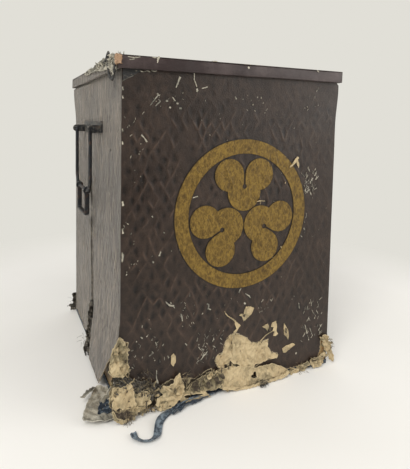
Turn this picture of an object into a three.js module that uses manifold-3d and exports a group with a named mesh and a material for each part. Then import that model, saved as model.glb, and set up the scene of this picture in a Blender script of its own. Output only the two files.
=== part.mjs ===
// Armour storage chest: a wooden frame with woven bamboo walls, covered in lacquered paper,
// with a lift-off lid, a gold crest on the front and an iron drop handle on each side.
// Millimetres, +Z up. The front faces -Y. The origin is the centre of the base, on the floor.

import * as THREE from 'three';
import Module from 'manifold-3d';
import { mergeVertices } from 'three/addons/utils/BufferGeometryUtils.js';

// Overall size
const bodyWidth = 410;
const bodyDepth = 414;
const chestHeight = 560;

// Gap left between two pieces that are glued, nailed or set against each other
const seat = 0.3;

// Walls, from the outside inwards
const coverThickness = 1.5;
const weaveThickness = 4;
const postSize = 22;
const railDepth = 14;
const railHeight = 24;
const liningThickness = 0.6;
const baseThickness = 12;

// Indigo binding along the bottom edge, and the strip of it that has come loose
const bindingHeight = 8;
const looseStripWidth = 10;
const looseStripThickness = 2.4;
const looseStripStart = -65;
const looseStripSides = 8;
const looseStripSteps = 44;

// Lid
const lidCoverThickness = 1;
const lidBoardThickness = 8;
const lidBandHeight = 20;
const lidBandThickness = 5;
const lidClearance = 2;
const battenHeight = 10;
const battenWidth = 30;
const battenInset = 95;
const battenEndClearance = 3;

// Crest on the front: a ring round three sandbar figures
const crestOffCentre = 11;
const crestHeight = 306.5;
const crestRelief = 1;
const crestRingOuter = 129;
const crestRingInner = 104;
const figureCount = 3;
const headRadius = 28;
const headSpread = 29.5;
const headReach = 68;
const footRadius = 32.5;
const footReach = 38;
const slitWidth = 1.6;
const dropRadius = 3;
const dropReach = 48;
const crestFacets = 64;

// Side handles
const plateLength = 164;
const plateHeight = 21;
const plateThickness = 3;
const plateTop = 462;
const plateCornerRadius = 3;
const pivotOffset = 20;
const pivotBelowPlate = 3.5;
const lugThickness = 4;
const lugWall = 3.4;
const bailBar = 6.5;
const bailLegSpacing = 138;
const bailDrop = 114;
const bailBottomRadius = 22;
const bailTopRadius = 5;
const pinClearance = 0.35;
const pintleProjection = 3;
const dropLoopBar = 7;
const dropLoopLegSpacing = 78;
const dropLoopDrop = 46;
const dropLoopRadius = 12;
const eyeClearance = 0.4;
const nailShank = 3;
const nailHead = 8;
const nailHeadHeight = 2.4;
const nailSpacing = 64;
const nailHoleClearance = 0.3;
const barSides = 12;
const barSteps = 44;
const loopSides = 8;
const loopSteps = 30;

// Torn places, where the covering has come away. A tear's points are distances from the chest's
// edge and heights above the floor. The front hole's are places across the front and heights.
const leftTear = [
  [12, 118], [11, 90], [14, 57], [30, 47], [46, 41], [55, 24], [61, 45], [90, 40], [105, 25],
  [143, 13],
];
const leftTearEnd = 164;
const rightTear = [[21, 14], [16, 48]];
const rightTearStart = 55;
const rightTearHeight = 56;
const frontTear = [
  [-39, 57], [-20, 90], [5, 93], [38, 74], [63, 71], [71, 51], [87, 41], [46, 37], [36, 31],
  [0, 40],
];
const seamOpening = 3;
const seamOpenHeight = 300;
const cornerTearHeight = 122;
const cornerTearDepth = 82;
const cornerFlare = 16;
const flareReach = 95;
const flareHeight = 195;
const flapReach = 62;
const flapWidth = 84;
const flapForward = 9;
const flapThickness = 1.5;
const flapCurl = 7;

// Heights and insets that follow from the sizes above
const halfWidth = bodyWidth / 2;
const halfDepth = bodyDepth / 2;
const lidBoardBase = chestHeight - lidCoverThickness - seat - lidBoardThickness;
const rim = lidBoardBase - seat;
const coverBottom = bindingHeight + seat;
const weaveInset = coverThickness + seat;
const frameInset = weaveInset + weaveThickness + seat;

const wasm = await Module();
wasm.setup();

function finish(color, roughness, metalness = 0) {
  return new THREE.MeshStandardMaterial({ color, roughness, metalness });
}

const lacquer = finish(0x3c302d, 0.35);
const lidLacquer = finish(0x413437, 0.4);
const bamboo = finish(0xb89a68, 0.7);
const timber = finish(0x8c6a48, 0.75);
const paper = finish(0xc9b893, 0.9);
const gold = finish(0x967d41, 0.5, 0.3);
const iron = finish(0x32373c, 0.55, 0.8);
const indigo = finish(0x46505a, 0.9);
const tornPaper = finish(0xc8aa78, 0.9);

function node(name, geometry, material) {
  const mesh = new THREE.Mesh(geometry, material);
  mesh.name = name;
  return mesh;
}

// A board given by its lowest and highest corners.
function board(name, low, high, material) {
  const size = high.map((value, i) => value - low[i]);
  const mesh = node(name, new THREE.BoxGeometry(...size), material);
  mesh.position.set(...low.map((value, i) => value + size[i] / 2));
  return mesh;
}

// Four boards round the body: front and back run the full width, left and right fit between.
function fourBoards(name, inset, thickness, low, high, material) {
  const x = halfWidth - inset;
  const y = halfDepth - inset;
  const side = y - thickness - seat;
  return [
    board(`${name}_front`, [-x, -y, low], [x, -y + thickness, high], material),
    board(`${name}_back`, [-x, y - thickness, low], [x, y, high], material),
    board(`${name}_left`, [-x, -side, low], [-x + thickness, side, high], material),
    board(`${name}_right`, [x - thickness, -side, low], [x, side, high], material),
  ];
}

function toSolid(geometry) {
  const bare = geometry.clone();
  bare.deleteAttribute('normal');
  bare.deleteAttribute('uv');
  const merged = mergeVertices(bare, 1e-5);
  return new wasm.Manifold(new wasm.Mesh({
    numProp: 3,
    vertProperties: merged.attributes.position.array,
    triVerts: new Uint32Array(merged.index.array),
  }));
}

function toGeometry(solid) {
  const mesh = solid.getMesh();
  const geometry = new THREE.BufferGeometry();
  geometry.setAttribute('position', new THREE.BufferAttribute(mesh.vertProperties, 3));
  geometry.setIndex(new THREE.BufferAttribute(mesh.triVerts, 1));
  geometry.computeVertexNormals();
  return geometry;
}

// A plate whose outline is drawn in X and Z, facing the front, with its back at Y = 0.
function frontPlate(shape, thickness, curveSegments = 12) {
  const options = { depth: thickness, bevelEnabled: false, curveSegments };
  return new THREE.ExtrudeGeometry(shape, options).rotateX(Math.PI / 2);
}

// A plate whose outline is drawn in Y and Z, lying against a side wall, rising towards +X.
function sidePlate(shape, thickness, curveSegments = 12) {
  const options = { depth: thickness, bevelEnabled: false, curveSegments };
  const turn = new THREE.Matrix4().makeBasis(
    new THREE.Vector3(0, 1, 0),
    new THREE.Vector3(0, 0, 1),
    new THREE.Vector3(1, 0, 0),
  );
  return new THREE.ExtrudeGeometry(shape, options).applyMatrix4(turn);
}

function polygon(points) {
  return new THREE.Shape(points.map(([x, y]) => new THREE.Vector2(x, y)));
}

// The outline of a bar's cross-section, width by height.
function section(width, height, sides) {
  const points = [];
  for (let i = 0; i < sides; i += 1) {
    const angle = (i / sides) * 2 * Math.PI;
    points.push([Math.cos(angle) * width / 2, Math.sin(angle) * height / 2]);
  }
  return polygon(points);
}

function barAlong(path, diameter, sides, steps) {
  const options = { steps, bevelEnabled: false, extrudePath: path };
  return new THREE.ExtrudeGeometry(section(diameter, diameter, sides), options);
}

// A path of straight runs joined by round bends of the given radii, through points in Y and Z.
function bentPath(points, radii) {
  const path = new THREE.CurvePath();
  let start = points[0];
  for (let i = 1; i < points.length - 1; i += 1) {
    const corner = points[i];
    const before = start.clone().sub(corner).setLength(radii[i - 1]).add(corner);
    const after = points[i + 1].clone().sub(corner).setLength(radii[i - 1]).add(corner);
    const pull = 0.5523;
    path.add(new THREE.LineCurve3(start, before));
    path.add(new THREE.CubicBezierCurve3(
      before,
      before.clone().lerp(corner, pull),
      after.clone().lerp(corner, pull),
      after,
    ));
    start = after;
  }
  path.add(new THREE.LineCurve3(start, points[points.length - 1]));
  return path;
}

// A thin sheet of the given thickness over a grid: surface(u, v) gives its outer face, and
// inward is the direction of its other face.
function sheet(columns, rows, surface, inward, thickness) {
  const positions = [];
  const index = [];
  const at = (layer, i, j) => layer * (columns + 1) * (rows + 1) + j * (columns + 1) + i;
  const quad = (a, b, c, d) => index.push(a, b, c, a, c, d);
  for (let layer = 0; layer < 2; layer += 1) {
    for (let j = 0; j <= rows; j += 1) {
      for (let i = 0; i <= columns; i += 1) {
        const point = surface(i / columns, j / rows);
        point.addScaledVector(inward, layer * thickness);
        positions.push(point.x, point.y, point.z);
      }
    }
  }
  for (let j = 0; j < rows; j += 1) {
    for (let i = 0; i < columns; i += 1) {
      quad(at(0, i, j), at(0, i + 1, j), at(0, i + 1, j + 1), at(0, i, j + 1));
      quad(at(1, i, j), at(1, i, j + 1), at(1, i + 1, j + 1), at(1, i + 1, j));
    }
  }
  for (let i = 0; i < columns; i += 1) {
    quad(at(0, i, 0), at(1, i, 0), at(1, i + 1, 0), at(0, i + 1, 0));
    quad(at(0, i, rows), at(0, i + 1, rows), at(1, i + 1, rows), at(1, i, rows));
  }
  for (let j = 0; j < rows; j += 1) {
    quad(at(0, 0, j), at(0, 0, j + 1), at(1, 0, j + 1), at(1, 0, j));
    quad(at(0, columns, j), at(1, columns, j), at(1, columns, j + 1), at(0, columns, j + 1));
  }
  const geometry = new THREE.BufferGeometry();
  geometry.setAttribute('position', new THREE.Float32BufferAttribute(positions, 3));
  geometry.setIndex(index);
  geometry.computeVertexNormals();
  return geometry;
}

function frameOfWood() {
  const x = halfWidth - frameInset;
  const y = halfDepth - frameInset;
  const pieces = [];
  const baseTop = baseThickness + seat;
  pieces.push(board('base_board', [-x, -y, 0], [x, y, baseThickness], timber));
  for (const [endName, endSign] of [['front', -1], ['back', 1]]) {
    for (const [sideName, sideSign] of [['left', -1], ['right', 1]]) {
      const post = board(
        `post_${endName}_${sideName}`,
        [x - postSize, y - postSize, baseTop],
        [x, y, rim],
        timber,
      );
      post.position.x *= sideSign;
      post.position.y *= endSign;
      pieces.push(post);
    }
  }
  const alongX = x - postSize - seat;
  const alongY = y - postSize - seat;
  const levels = { top_rail: [rim - railHeight, rim], bottom_rail: [baseTop, baseTop + railHeight] };
  for (const [name, [low, high]] of Object.entries(levels)) {
    pieces.push(
      board(`${name}_front`, [-alongX, -y, low], [alongX, -y + railDepth, high], timber),
      board(`${name}_back`, [-alongX, y - railDepth, low], [alongX, y, high], timber),
      board(`${name}_left`, [-x, -alongY, low], [-x + railDepth, alongY, high], timber),
      board(`${name}_right`, [x - railDepth, -alongY, low], [x, alongY, high], timber),
    );
  }
  return pieces;
}

// Paper pasted on the inside of the woven walls, between the posts and the rails.
function linings() {
  const x = halfWidth - frameInset;
  const y = halfDepth - frameInset;
  const alongX = x - postSize - seat;
  const alongY = y - postSize - seat;
  const low = baseThickness + seat + railHeight + seat;
  const high = rim - railHeight - seat;
  const t = liningThickness;
  return [
    board('paper_lining_front', [-alongX, -y, low], [alongX, -y + t, high], paper),
    board('paper_lining_back', [-alongX, y - t, low], [alongX, y, high], paper),
    board('paper_lining_left', [-x, -alongY, low], [-x + t, alongY, high], paper),
    board('paper_lining_right', [x - t, -alongY, low], [x, alongY, high], paper),
  ];
}

// The front covering, torn along its lower edge and at both lower corners, with a hole in it.
function frontCover() {
  const outline = polygon([
    [-halfWidth, rim],
    [-halfWidth, cornerTearHeight],
    ...leftTear.map(([across, height]) => [across - halfWidth, height]),
    [leftTearEnd - halfWidth, coverBottom],
    [halfWidth - rightTearStart, coverBottom],
    ...rightTear.map(([across, height]) => [halfWidth - across, height]),
    [halfWidth, rightTearHeight],
    [halfWidth, rim],
  ]);
  outline.holes.push(polygon(frontTear));
  const mesh = node('cover_front', frontPlate(outline, coverThickness), lacquer);
  mesh.position.y = -halfDepth + coverThickness;
  return mesh;
}

// The left covering's front half stands away from the wall where the corner has split open.
function leftFrontCover() {
  const front = -halfDepth + coverThickness + seat;
  const smooth = (t) => t * t * (3 - 2 * t);
  const surface = (u, v) => {
    const z = coverBottom + (rim - coverBottom) * u;
    const tear = Math.max(0, (cornerTearHeight - z) / (cornerTearHeight - coverBottom));
    const edge = front + cornerTearDepth * tear;
    const seam = -seamOpening * Math.max(0, 1 - z / seamOpenHeight) - seat / 2;
    const y = edge + (seam - edge) * v;
    const nearEdge = Math.max(0, 1 - (y - edge) / flareReach);
    const nearFloor = Math.max(0, 1 - z / flareHeight);
    const out = cornerFlare * smooth(nearEdge) * smooth(nearFloor);
    return new THREE.Vector3(-halfWidth - out, y, z);
  };
  const inward = new THREE.Vector3(1, 0, 0);
  return node('cover_left_front', sheet(14, 12, surface, inward, coverThickness), lacquer);
}

function covers() {
  const side = halfDepth - coverThickness - seat;
  const back = board(
    'cover_back',
    [-halfWidth, halfDepth - coverThickness, coverBottom],
    [halfWidth, halfDepth, rim],
    lacquer,
  );
  const leftBack = node('cover_left_back', sidePlate(polygon([
    [seat / 2, coverBottom], [side, coverBottom], [side, rim], [seat / 2, rim],
  ]), coverThickness), lacquer);
  leftBack.position.x = -halfWidth;
  const right = [['cover_right_front', -side, -seat / 2], ['cover_right_back', seat / 2, side]];
  const rightHalves = right.map(([name, near, far]) => board(
    name,
    [halfWidth - coverThickness, near, coverBottom],
    [halfWidth, far, rim],
    lacquer,
  ));
  return [frontCover(), back, leftFrontCover(), leftBack, ...rightHalves];
}

// A peeled piece of the left covering that has dropped on to the floor beside the corner.
function tornFlap() {
  const front = -halfDepth - flapForward;
  const surface = (u, v) => {
    const reach = flapReach * (1 - u * u * 0.75);
    const lift = flapThickness + flapCurl * v * v;
    return new THREE.Vector3(-halfWidth - seat - reach * v, front + flapWidth * u, lift);
  };
  const down = new THREE.Vector3(0, 0, -1);
  return node('torn_corner_flap', sheet(8, 6, surface, down, flapThickness), tornPaper);
}

function circleAt(radius, x, z) {
  const shape = new THREE.Shape();
  shape.absarc(x, z, radius, 0, 2 * Math.PI, false);
  return toSolid(frontPlate(shape, crestRelief, crestFacets / 4));
}

// One sandbar figure: two round heads and a round foot, slit down its middle to a round hole.
function sandbarFigure() {
  const heads = circleAt(headRadius, -headSpread, headReach)
    .add(circleAt(headRadius, headSpread, headReach));
  const body = heads.add(circleAt(footRadius, 0, footReach));
  const slitLength = headReach + headRadius - dropReach;
  const slit = new THREE.BoxGeometry(slitWidth, crestRelief * 3, slitLength);
  slit.translate(0, 0, dropReach + slitLength / 2);
  const drop = new THREE.CylinderGeometry(dropRadius, dropRadius, crestRelief * 3, 16);
  drop.translate(0, 0, dropReach);
  return toGeometry(body.subtract(toSolid(slit)).subtract(toSolid(drop)));
}

function crest() {
  const group = new THREE.Group();
  group.position.set(crestOffCentre, -halfDepth - seat, crestHeight);
  const ring = new THREE.Shape();
  ring.absarc(0, 0, crestRingOuter, 0, 2 * Math.PI, false);
  const hole = new THREE.Path();
  hole.absarc(0, 0, crestRingInner, 0, 2 * Math.PI, true);
  ring.holes.push(hole);
  group.add(node('crest_ring', frontPlate(ring, crestRelief, crestFacets), gold));
  for (let i = 0; i < figureCount; i += 1) {
    const figure = node(`crest_figure_${i + 1}`, sandbarFigure(), gold);
    figure.rotation.y = (i / figureCount) * 2 * Math.PI;
    group.add(figure);
  }
  return group;
}

// Bindings round the bottom edge of the walls. The front one is torn off left of looseStripStart.
function bindings() {
  const [front, ...others] = fourBoards('base_binding', 0, coverThickness, 0, bindingHeight, indigo);
  const kept = board(
    front.name,
    [looseStripStart, -halfDepth, 0],
    [halfWidth, -halfDepth + coverThickness, bindingHeight],
    indigo,
  );
  return [kept, ...others];
}

// The end of the front binding that has come away and lies on the floor.
function looseBinding() {
  const lie = looseStripThickness / 2 + 0.1;
  const beside = seat + looseStripWidth / 2;
  // Each point is a distance along from the torn end, out from the front and up from the floor.
  const route = [
    [0, beside, lie], [15, 6.2, lie], [29, 8, lie], [43, 11.2, lie],
    [56, 16, lie], [68, 22.5, lie], [78, 30.5, lie], [86, 40.5, lie],
    [91.5, 52, lie], [97, 63, lie], [105, 70, lie], [114, 72, lie],
    [122.5, 69, lie], [128.5, 62.5, lie + 0.3], [131.5, 54.5, lie + 1], [132, 46, lie + 2.4],
  ].map(([along, out, up]) => new THREE.Vector3(looseStripStart - along, -halfDepth - out, up));
  const path = new THREE.CatmullRomCurve3(route, false, 'centripetal');
  const shape = section(looseStripThickness, looseStripWidth, looseStripSides);
  const options = { steps: looseStripSteps, bevelEnabled: false, extrudePath: path };
  return node('binding_loose_end', new THREE.ExtrudeGeometry(shape, options), indigo);
}

// A lug that stands off the handle plate and holds one end of the bail.
function lug(pivotHeight) {
  const radius = bailBar / 2 + pinClearance + lugWall;
  const reach = pivotOffset - plateThickness - 2 * seat;
  const shape = new THREE.Shape();
  shape.moveTo(reach, -radius);
  shape.lineTo(reach, radius);
  shape.lineTo(0, radius);
  shape.absarc(0, 0, radius, Math.PI / 2, Math.PI * 1.5, false);
  const hole = new THREE.Path();
  hole.absarc(0, 0, bailBar / 2 + pinClearance, 0, 2 * Math.PI, true);
  shape.holes.push(hole);
  const geometry = frontPlate(shape, lugThickness, 16);
  geometry.translate(0, lugThickness / 2, pivotHeight);
  return geometry;
}

// One nail: a domed head with its shank passing through the plate.
function nail() {
  const profile = [
    [0, -plateThickness], [nailShank / 2, -plateThickness], [nailShank / 2, seat],
    [nailHead / 2, seat], [nailHead / 2 * 0.8, nailHeadHeight * 0.7], [0, nailHeadHeight],
  ].map(([x, y]) => new THREE.Vector2(x, y));
  return new THREE.LatheGeometry(profile, 12).rotateZ(Math.PI / 2);
}

function handlePlate() {
  const shape = new THREE.Shape();
  const y = plateLength / 2;
  const r = plateCornerRadius;
  const low = plateTop - plateHeight;
  shape.absarc(y - r, plateTop - r, r, 0, Math.PI / 2, false);
  shape.absarc(-y + r, plateTop - r, r, Math.PI / 2, Math.PI, false);
  shape.absarc(-y + r, low + r, r, Math.PI, Math.PI * 1.5, false);
  shape.absarc(y - r, low + r, r, Math.PI * 1.5, Math.PI * 2, false);
  for (const place of [-nailSpacing / 2, nailSpacing / 2]) {
    const hole = new THREE.Path();
    const radius = nailShank / 2 + nailHoleClearance;
    hole.absarc(place, plateTop - plateHeight / 2, radius, 0, 2 * Math.PI, true);
    shape.holes.push(hole);
  }
  return sidePlate(shape, plateThickness, 6);
}

// The handle's bail: a U of round bar whose ends turn out through the lugs.
function bail(pivotHeight) {
  const leg = bailLegSpacing / 2;
  const end = leg + bailTopRadius + lugThickness + pintleProjection;
  const points = [
    [-end, 0], [-leg, 0], [-leg, -bailDrop], [leg, -bailDrop], [leg, 0], [end, 0],
  ].map(([y, z]) => new THREE.Vector3(0, y, z + pivotHeight));
  const path = bentPath(points, [bailTopRadius, bailBottomRadius, bailBottomRadius, bailTopRadius]);
  return barAlong(path, bailBar, barSides, barSteps);
}

// The small loop that hangs from the bail by an eye at the top of each leg.
function dropLoop(barHeight) {
  const leg = dropLoopLegSpacing / 2;
  const eyeRadius = bailBar / 2 + eyeClearance + dropLoopBar / 2;
  const points = [
    [-leg, -eyeRadius], [-leg, -dropLoopDrop], [leg, -dropLoopDrop], [leg, -eyeRadius],
  ].map(([y, z]) => new THREE.Vector3(0, y, z + barHeight));
  const path = bentPath(points, [dropLoopRadius, dropLoopRadius]);
  let solid = toSolid(barAlong(path, dropLoopBar, loopSides, loopSteps));
  for (const place of [-leg, leg]) {
    const eye = new THREE.TorusGeometry(eyeRadius, dropLoopBar / 2, loopSides, 20);
    eye.rotateX(Math.PI / 2).translate(0, place, barHeight);
    solid = solid.add(toSolid(eye));
  }
  return toGeometry(solid);
}

// One side's handle, built for the left wall. The right one is turned half round afterwards, so
// the pieces at its front end are built towards the back.
function handle(side) {
  const ends = side === 'left' ? { front: -1, back: 1 } : { front: 1, back: -1 };
  const group = new THREE.Group();
  const pivotHeight = plateTop - plateHeight / 2 - pivotBelowPlate;
  const barHeight = pivotHeight - bailDrop;
  const face = -halfWidth - seat;
  const pivotX = -halfWidth - pivotOffset;
  const plate = node(`handle_plate_${side}`, handlePlate(), iron);
  plate.position.x = face - plateThickness;
  group.add(plate);
  const lugPlace = bailLegSpacing / 2 + bailTopRadius + lugThickness / 2;
  for (const [end, sign] of Object.entries(ends)) {
    const lugNode = node(`handle_lug_${side}_${end}`, lug(pivotHeight), iron);
    lugNode.position.set(pivotX, sign * lugPlace, 0);
    group.add(lugNode);
    const nailNode = node(`handle_nail_${side}_${end}`, nail(), iron);
    const nailHeight = plateTop - plateHeight / 2;
    nailNode.position.set(face - plateThickness, sign * nailSpacing / 2, nailHeight);
    group.add(nailNode);
  }
  const bailNode = node(`bail_${side}`, bail(pivotHeight), iron);
  bailNode.position.x = pivotX;
  const loopNode = node(`drop_loop_${side}`, dropLoop(barHeight), iron);
  loopNode.position.x = pivotX;
  group.add(bailNode, loopNode);
  return group;
}

function lid() {
  const inner = -lidClearance;
  const outer = inner - lidBandThickness;
  const bandBase = chestHeight - lidBandHeight;
  const coverBase = chestHeight - lidCoverThickness;
  const bandTop = coverBase - seat;
  const boardX = halfWidth - inner - seat;
  const boardY = halfDepth - inner - seat;
  const x = halfWidth - outer;
  const y = halfDepth - outer;
  const pieces = [
    board('lid_board', [-boardX, -boardY, lidBoardBase], [boardX, boardY, bandTop], timber),
    board('lid_cover', [-x, -y, coverBase], [x, y, chestHeight], lidLacquer),
    ...fourBoards('lid_band', outer, lidBandThickness, bandBase, bandTop, lidLacquer),
  ];
  const battenEnd = halfWidth - frameInset - railDepth - battenEndClearance;
  const battenTop = lidBoardBase - seat;
  for (const [name, sign] of [['lid_batten_front', -1], ['lid_batten_back', 1]]) {
    const batten = board(
      name,
      [-battenEnd, -battenWidth / 2, battenTop - battenHeight],
      [battenEnd, battenWidth / 2, battenTop],
      timber,
    );
    batten.position.y = sign * battenInset;
    pieces.push(batten);
  }
  return pieces;
}

function chest() {
  const group = new THREE.Group();
  group.name = 'armour_chest';
  const walls = fourBoards('woven_panel', weaveInset, weaveThickness, 0, rim, bamboo);
  group.add(...frameOfWood(), ...linings(), ...walls, ...covers(), ...bindings());
  group.add(crest(), looseBinding(), tornFlap(), ...lid(), handle('left'));
  const rightHandle = handle('right');
  rightHandle.rotation.z = Math.PI;
  group.add(rightHandle);
  return group;
}

export default chest();
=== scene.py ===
"""Looks of the armour storage chest: torn lacquered covers over plaited bamboo, with a lift-off
lid, a gold crest and iron side handles. Lengths are in metres unless a name or comment says mm."""

import math
import random

import bmesh
import bpy
import numpy as np
from bpy.props import FloatProperty, FloatVectorProperty, PointerProperty
from mathutils import Matrix, Vector, noise


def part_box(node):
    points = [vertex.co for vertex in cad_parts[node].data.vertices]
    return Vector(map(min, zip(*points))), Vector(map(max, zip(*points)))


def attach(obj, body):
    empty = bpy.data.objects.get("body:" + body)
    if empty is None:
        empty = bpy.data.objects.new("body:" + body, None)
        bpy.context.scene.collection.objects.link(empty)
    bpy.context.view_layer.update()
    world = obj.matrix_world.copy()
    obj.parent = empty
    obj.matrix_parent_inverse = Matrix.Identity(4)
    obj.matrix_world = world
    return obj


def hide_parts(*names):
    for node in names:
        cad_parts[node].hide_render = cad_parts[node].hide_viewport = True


bl_info = {
    "name": "Armour storage chest",
    "version": (1, 0, 0),
    "blender": (4, 5, 0),
    "location": "View3D > Sidebar > Chest",
    "description": "Dresses the packed model of a lacquered armour storage chest",
    "category": "Add Mesh",
}

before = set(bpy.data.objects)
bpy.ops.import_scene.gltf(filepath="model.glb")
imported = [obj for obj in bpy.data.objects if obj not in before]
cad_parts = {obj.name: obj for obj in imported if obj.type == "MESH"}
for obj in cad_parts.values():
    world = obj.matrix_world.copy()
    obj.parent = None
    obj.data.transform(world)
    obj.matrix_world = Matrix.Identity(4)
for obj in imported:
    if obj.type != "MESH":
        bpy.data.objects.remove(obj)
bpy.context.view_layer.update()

MM = 0.001
NOISE_SEED = 1
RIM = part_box("cover_front")[1].z
COVER_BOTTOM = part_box("cover_back")[0].z
HALF_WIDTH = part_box("cover_right_back")[1].x
HALF_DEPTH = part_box("cover_back")[1].y
LID_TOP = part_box("lid_cover")[1].z
LID_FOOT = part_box("lid_band_front")[0].z
BAIL_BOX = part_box("bail_left")

# Each wall's direction across, as seen from outside, and the middle of its lower edge
WALLS = {
    "front": ((1, 0, 0), (0, -HALF_DEPTH, 0)),
    "back": ((-1, 0, 0), (0, HALF_DEPTH, 0)),
    "left": ((0, -1, 0), (-HALF_WIDTH, 0, 0)),
    "right": ((0, 1, 0), (HALF_WIDTH, 0, 0)),
}
SIDES = ("left", "right")


def screen_colour(red, green, blue):
    """A colour as a screen shows it, from 0 to 255, in Blender's linear values."""
    linear = []
    for value in (red, green, blue):
        share = value / 255
        linear.append(share / 12.92 if share < 0.04045 else ((share + 0.055) / 1.055) ** 2.4)
    return tuple(linear)


def colour_setting(name, description, red, green, blue):
    """A colour that a user can change, with its default given as a screen shows it."""
    default = screen_colour(red, green, blue)
    return FloatVectorProperty(
        name=name, description=description, subtype="COLOR", min=0, max=1, default=default
    )


def length_setting(name, description, millimetres):
    """A length that a user can change, with its default in millimetres."""
    return FloatProperty(
        name=name, description=description, unit="LENGTH", min=0, default=millimetres * MM
    )


class ChestSizes(bpy.types.PropertyGroup):
    """Sizes of the chest's surface detail."""

    plait_width: length_setting("Plait width", "Width of one diamond of the plaiting", 18)
    plait_height: length_setting("Plait height", "Height of one diamond of the plaiting", 31)
    relief: length_setting("Relief", "How far the plaiting shows through the lacquer", 1.1)
    waviness: length_setting("Waviness", "How far the walls are uneven", 0.7)
    cover_grid: length_setting("Cover grid", "Spacing of the covers' mesh", 1.9)
    paper_grid: length_setting("Paper grid", "Spacing of the torn papers' mesh", 1.3)
    crest_grid: length_setting("Crest grid", "Spacing of the crest's mesh", 1.1)
    bar: length_setting("Handle bar", "Diameter of the handle's bar", 6.5)
    loop_width: length_setting("Loop width", "Width of the drop loop's strap", 8.8)


class ChestColours(bpy.types.PropertyGroup):
    """Colours of the chest's finishes."""

    # Hollow and ridge colours: partly rubbed lacquer, partly painted shade and highlight
    lacquer_dark: colour_setting("Lacquer, dark", "Lacquer in the hollows", 22, 14, 9)
    lacquer_light: colour_setting("Lacquer, light", "Lacquer on the ridges", 76, 59, 48)
    lid_dark: colour_setting("Lid, dark", "Lacquer on the lid", 48, 37, 36)
    lid_light: colour_setting("Lid, light", "Rubbed lacquer on the lid", 92, 80, 78)
    gold: colour_setting("Gold", "Gold lacquer of the crest", 130, 104, 44)
    gold_worn: colour_setting("Worn gold", "Gold rubbed down to the lacquer", 66, 48, 18)
    # Side covers: paler partly from dust, partly as painted reflection of the bright room
    dust_dark: colour_setting("Dusty lacquer, dark", "Side covers in the hollows", 47, 39, 33)
    dust_light: colour_setting("Dusty lacquer, light", "Side covers on the ridges", 130, 118, 103)
    iron: colour_setting("Iron", "Forged iron of the handles", 50, 52, 55)
    rust: colour_setting("Rust", "Rust on the iron", 98, 74, 58)
    dust: colour_setting("Dust", "Dust on the iron", 138, 133, 122)
    indigo: colour_setting("Indigo", "Dyed binding", 30, 42, 56)
    # Worn indigo: partly faded dye, partly painted highlight on the folds
    indigo_worn_and_highlight: colour_setting("Worn indigo", "Faded binding", 122, 136, 146)
    paper: colour_setting("Torn paper", "Clean torn paper", 186, 162, 122)
    paper_stained: colour_setting("Stained paper", "Olive stain on the paper", 118, 108, 82)
    paper_grey: colour_setting("Grey paper", "Weathered torn paper", 182, 172, 150)
    paper_dark: colour_setting("Dark paper", "Paper soaked with lacquer", 50, 38, 33)
    bamboo: colour_setting("Bamboo", "Split bamboo", 176, 150, 102)
    timber: colour_setting("Timber", "Planed cedar", 158, 118, 76)
    lining: colour_setting("Lining", "Paper lining", 206, 190, 154)
    floor: colour_setting("Floor", "Floor in the room", 244, 242, 237)
    backdrop: colour_setting("Backdrop", "Backdrop behind the chest", 225, 223, 215)


class Nodes:
    """The nodes of a material or of the world."""

    def __init__(self, tree):
        self.tree = tree

    def fill(self, socket, value):
        """Link an input to another node's output, or give it a plain value."""
        if isinstance(value, bpy.types.NodeSocket):
            self.tree.links.new(value, socket)
        else:
            socket.default_value = value

    def add_node(self, kind, inputs=None, **settings):
        """Add a node, and fill its inputs with values or with the outputs of other nodes."""
        made = self.tree.nodes.new(kind)
        for name, value in settings.items():
            setattr(made, name, value)
        for name, value in (inputs or {}).items():
            self.fill(made.inputs[name], value)
        return made

    def remap(self, value, low, high, to_low=0.0, to_high=1.0):
        """A value from low to high, moved to the range from to_low to to_high."""
        ends = {"From Min": low, "From Max": high, "To Min": to_low, "To Max": to_high}
        made = self.add_node("ShaderNodeMapRange", {"Value": value, **ends})
        return made.outputs["Result"]

    def combine(self, operation, first, second):
        """Two values put together by a Math node."""
        inputs = {0: first, 1: second}
        return self.add_node("ShaderNodeMath", inputs, operation=operation).outputs[0]

    def add(self, first, second):
        """The sum of two values."""
        return self.combine("ADD", first, second)

    def times(self, first, second):
        """The product of two values."""
        return self.combine("MULTIPLY", first, second)

    def most(self, first, second):
        """The larger of two values."""
        return self.combine("MAXIMUM", first, second)

    def blend(self, share, first, second):
        """The first colour where share is 0 and the second where it is 1."""
        made = self.add_node("ShaderNodeMix", {0: share}, data_type="RGBA")
        for slot, value in ((6, first), (7, second)):
            if not isinstance(value, bpy.types.NodeSocket):
                value = (*value, 1)
            self.fill(made.inputs[slot], value)
        return made.outputs[2]

    def seen_rays(self):
        """1 for rays that the camera, a gloss or a glass sees, and 1 for the camera's alone."""
        path = self.add_node("ShaderNodeLightPath").outputs
        seen = self.most(path["Is Camera Ray"], path["Is Glossy Ray"])
        return self.most(seen, path["Is Transmission Ray"]), path["Is Camera Ray"]

    def blend_shaders(self, share, first, second, output):
        """Show the first shader where share is 0 and the second where it is 1."""
        inputs = {0: share, 1: first.outputs[0], 2: second.outputs[0]}
        mix = self.add_node("ShaderNodeMixShader", inputs)
        self.tree.links.new(mix.outputs[0], self.tree.nodes[output].inputs["Surface"])


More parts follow.
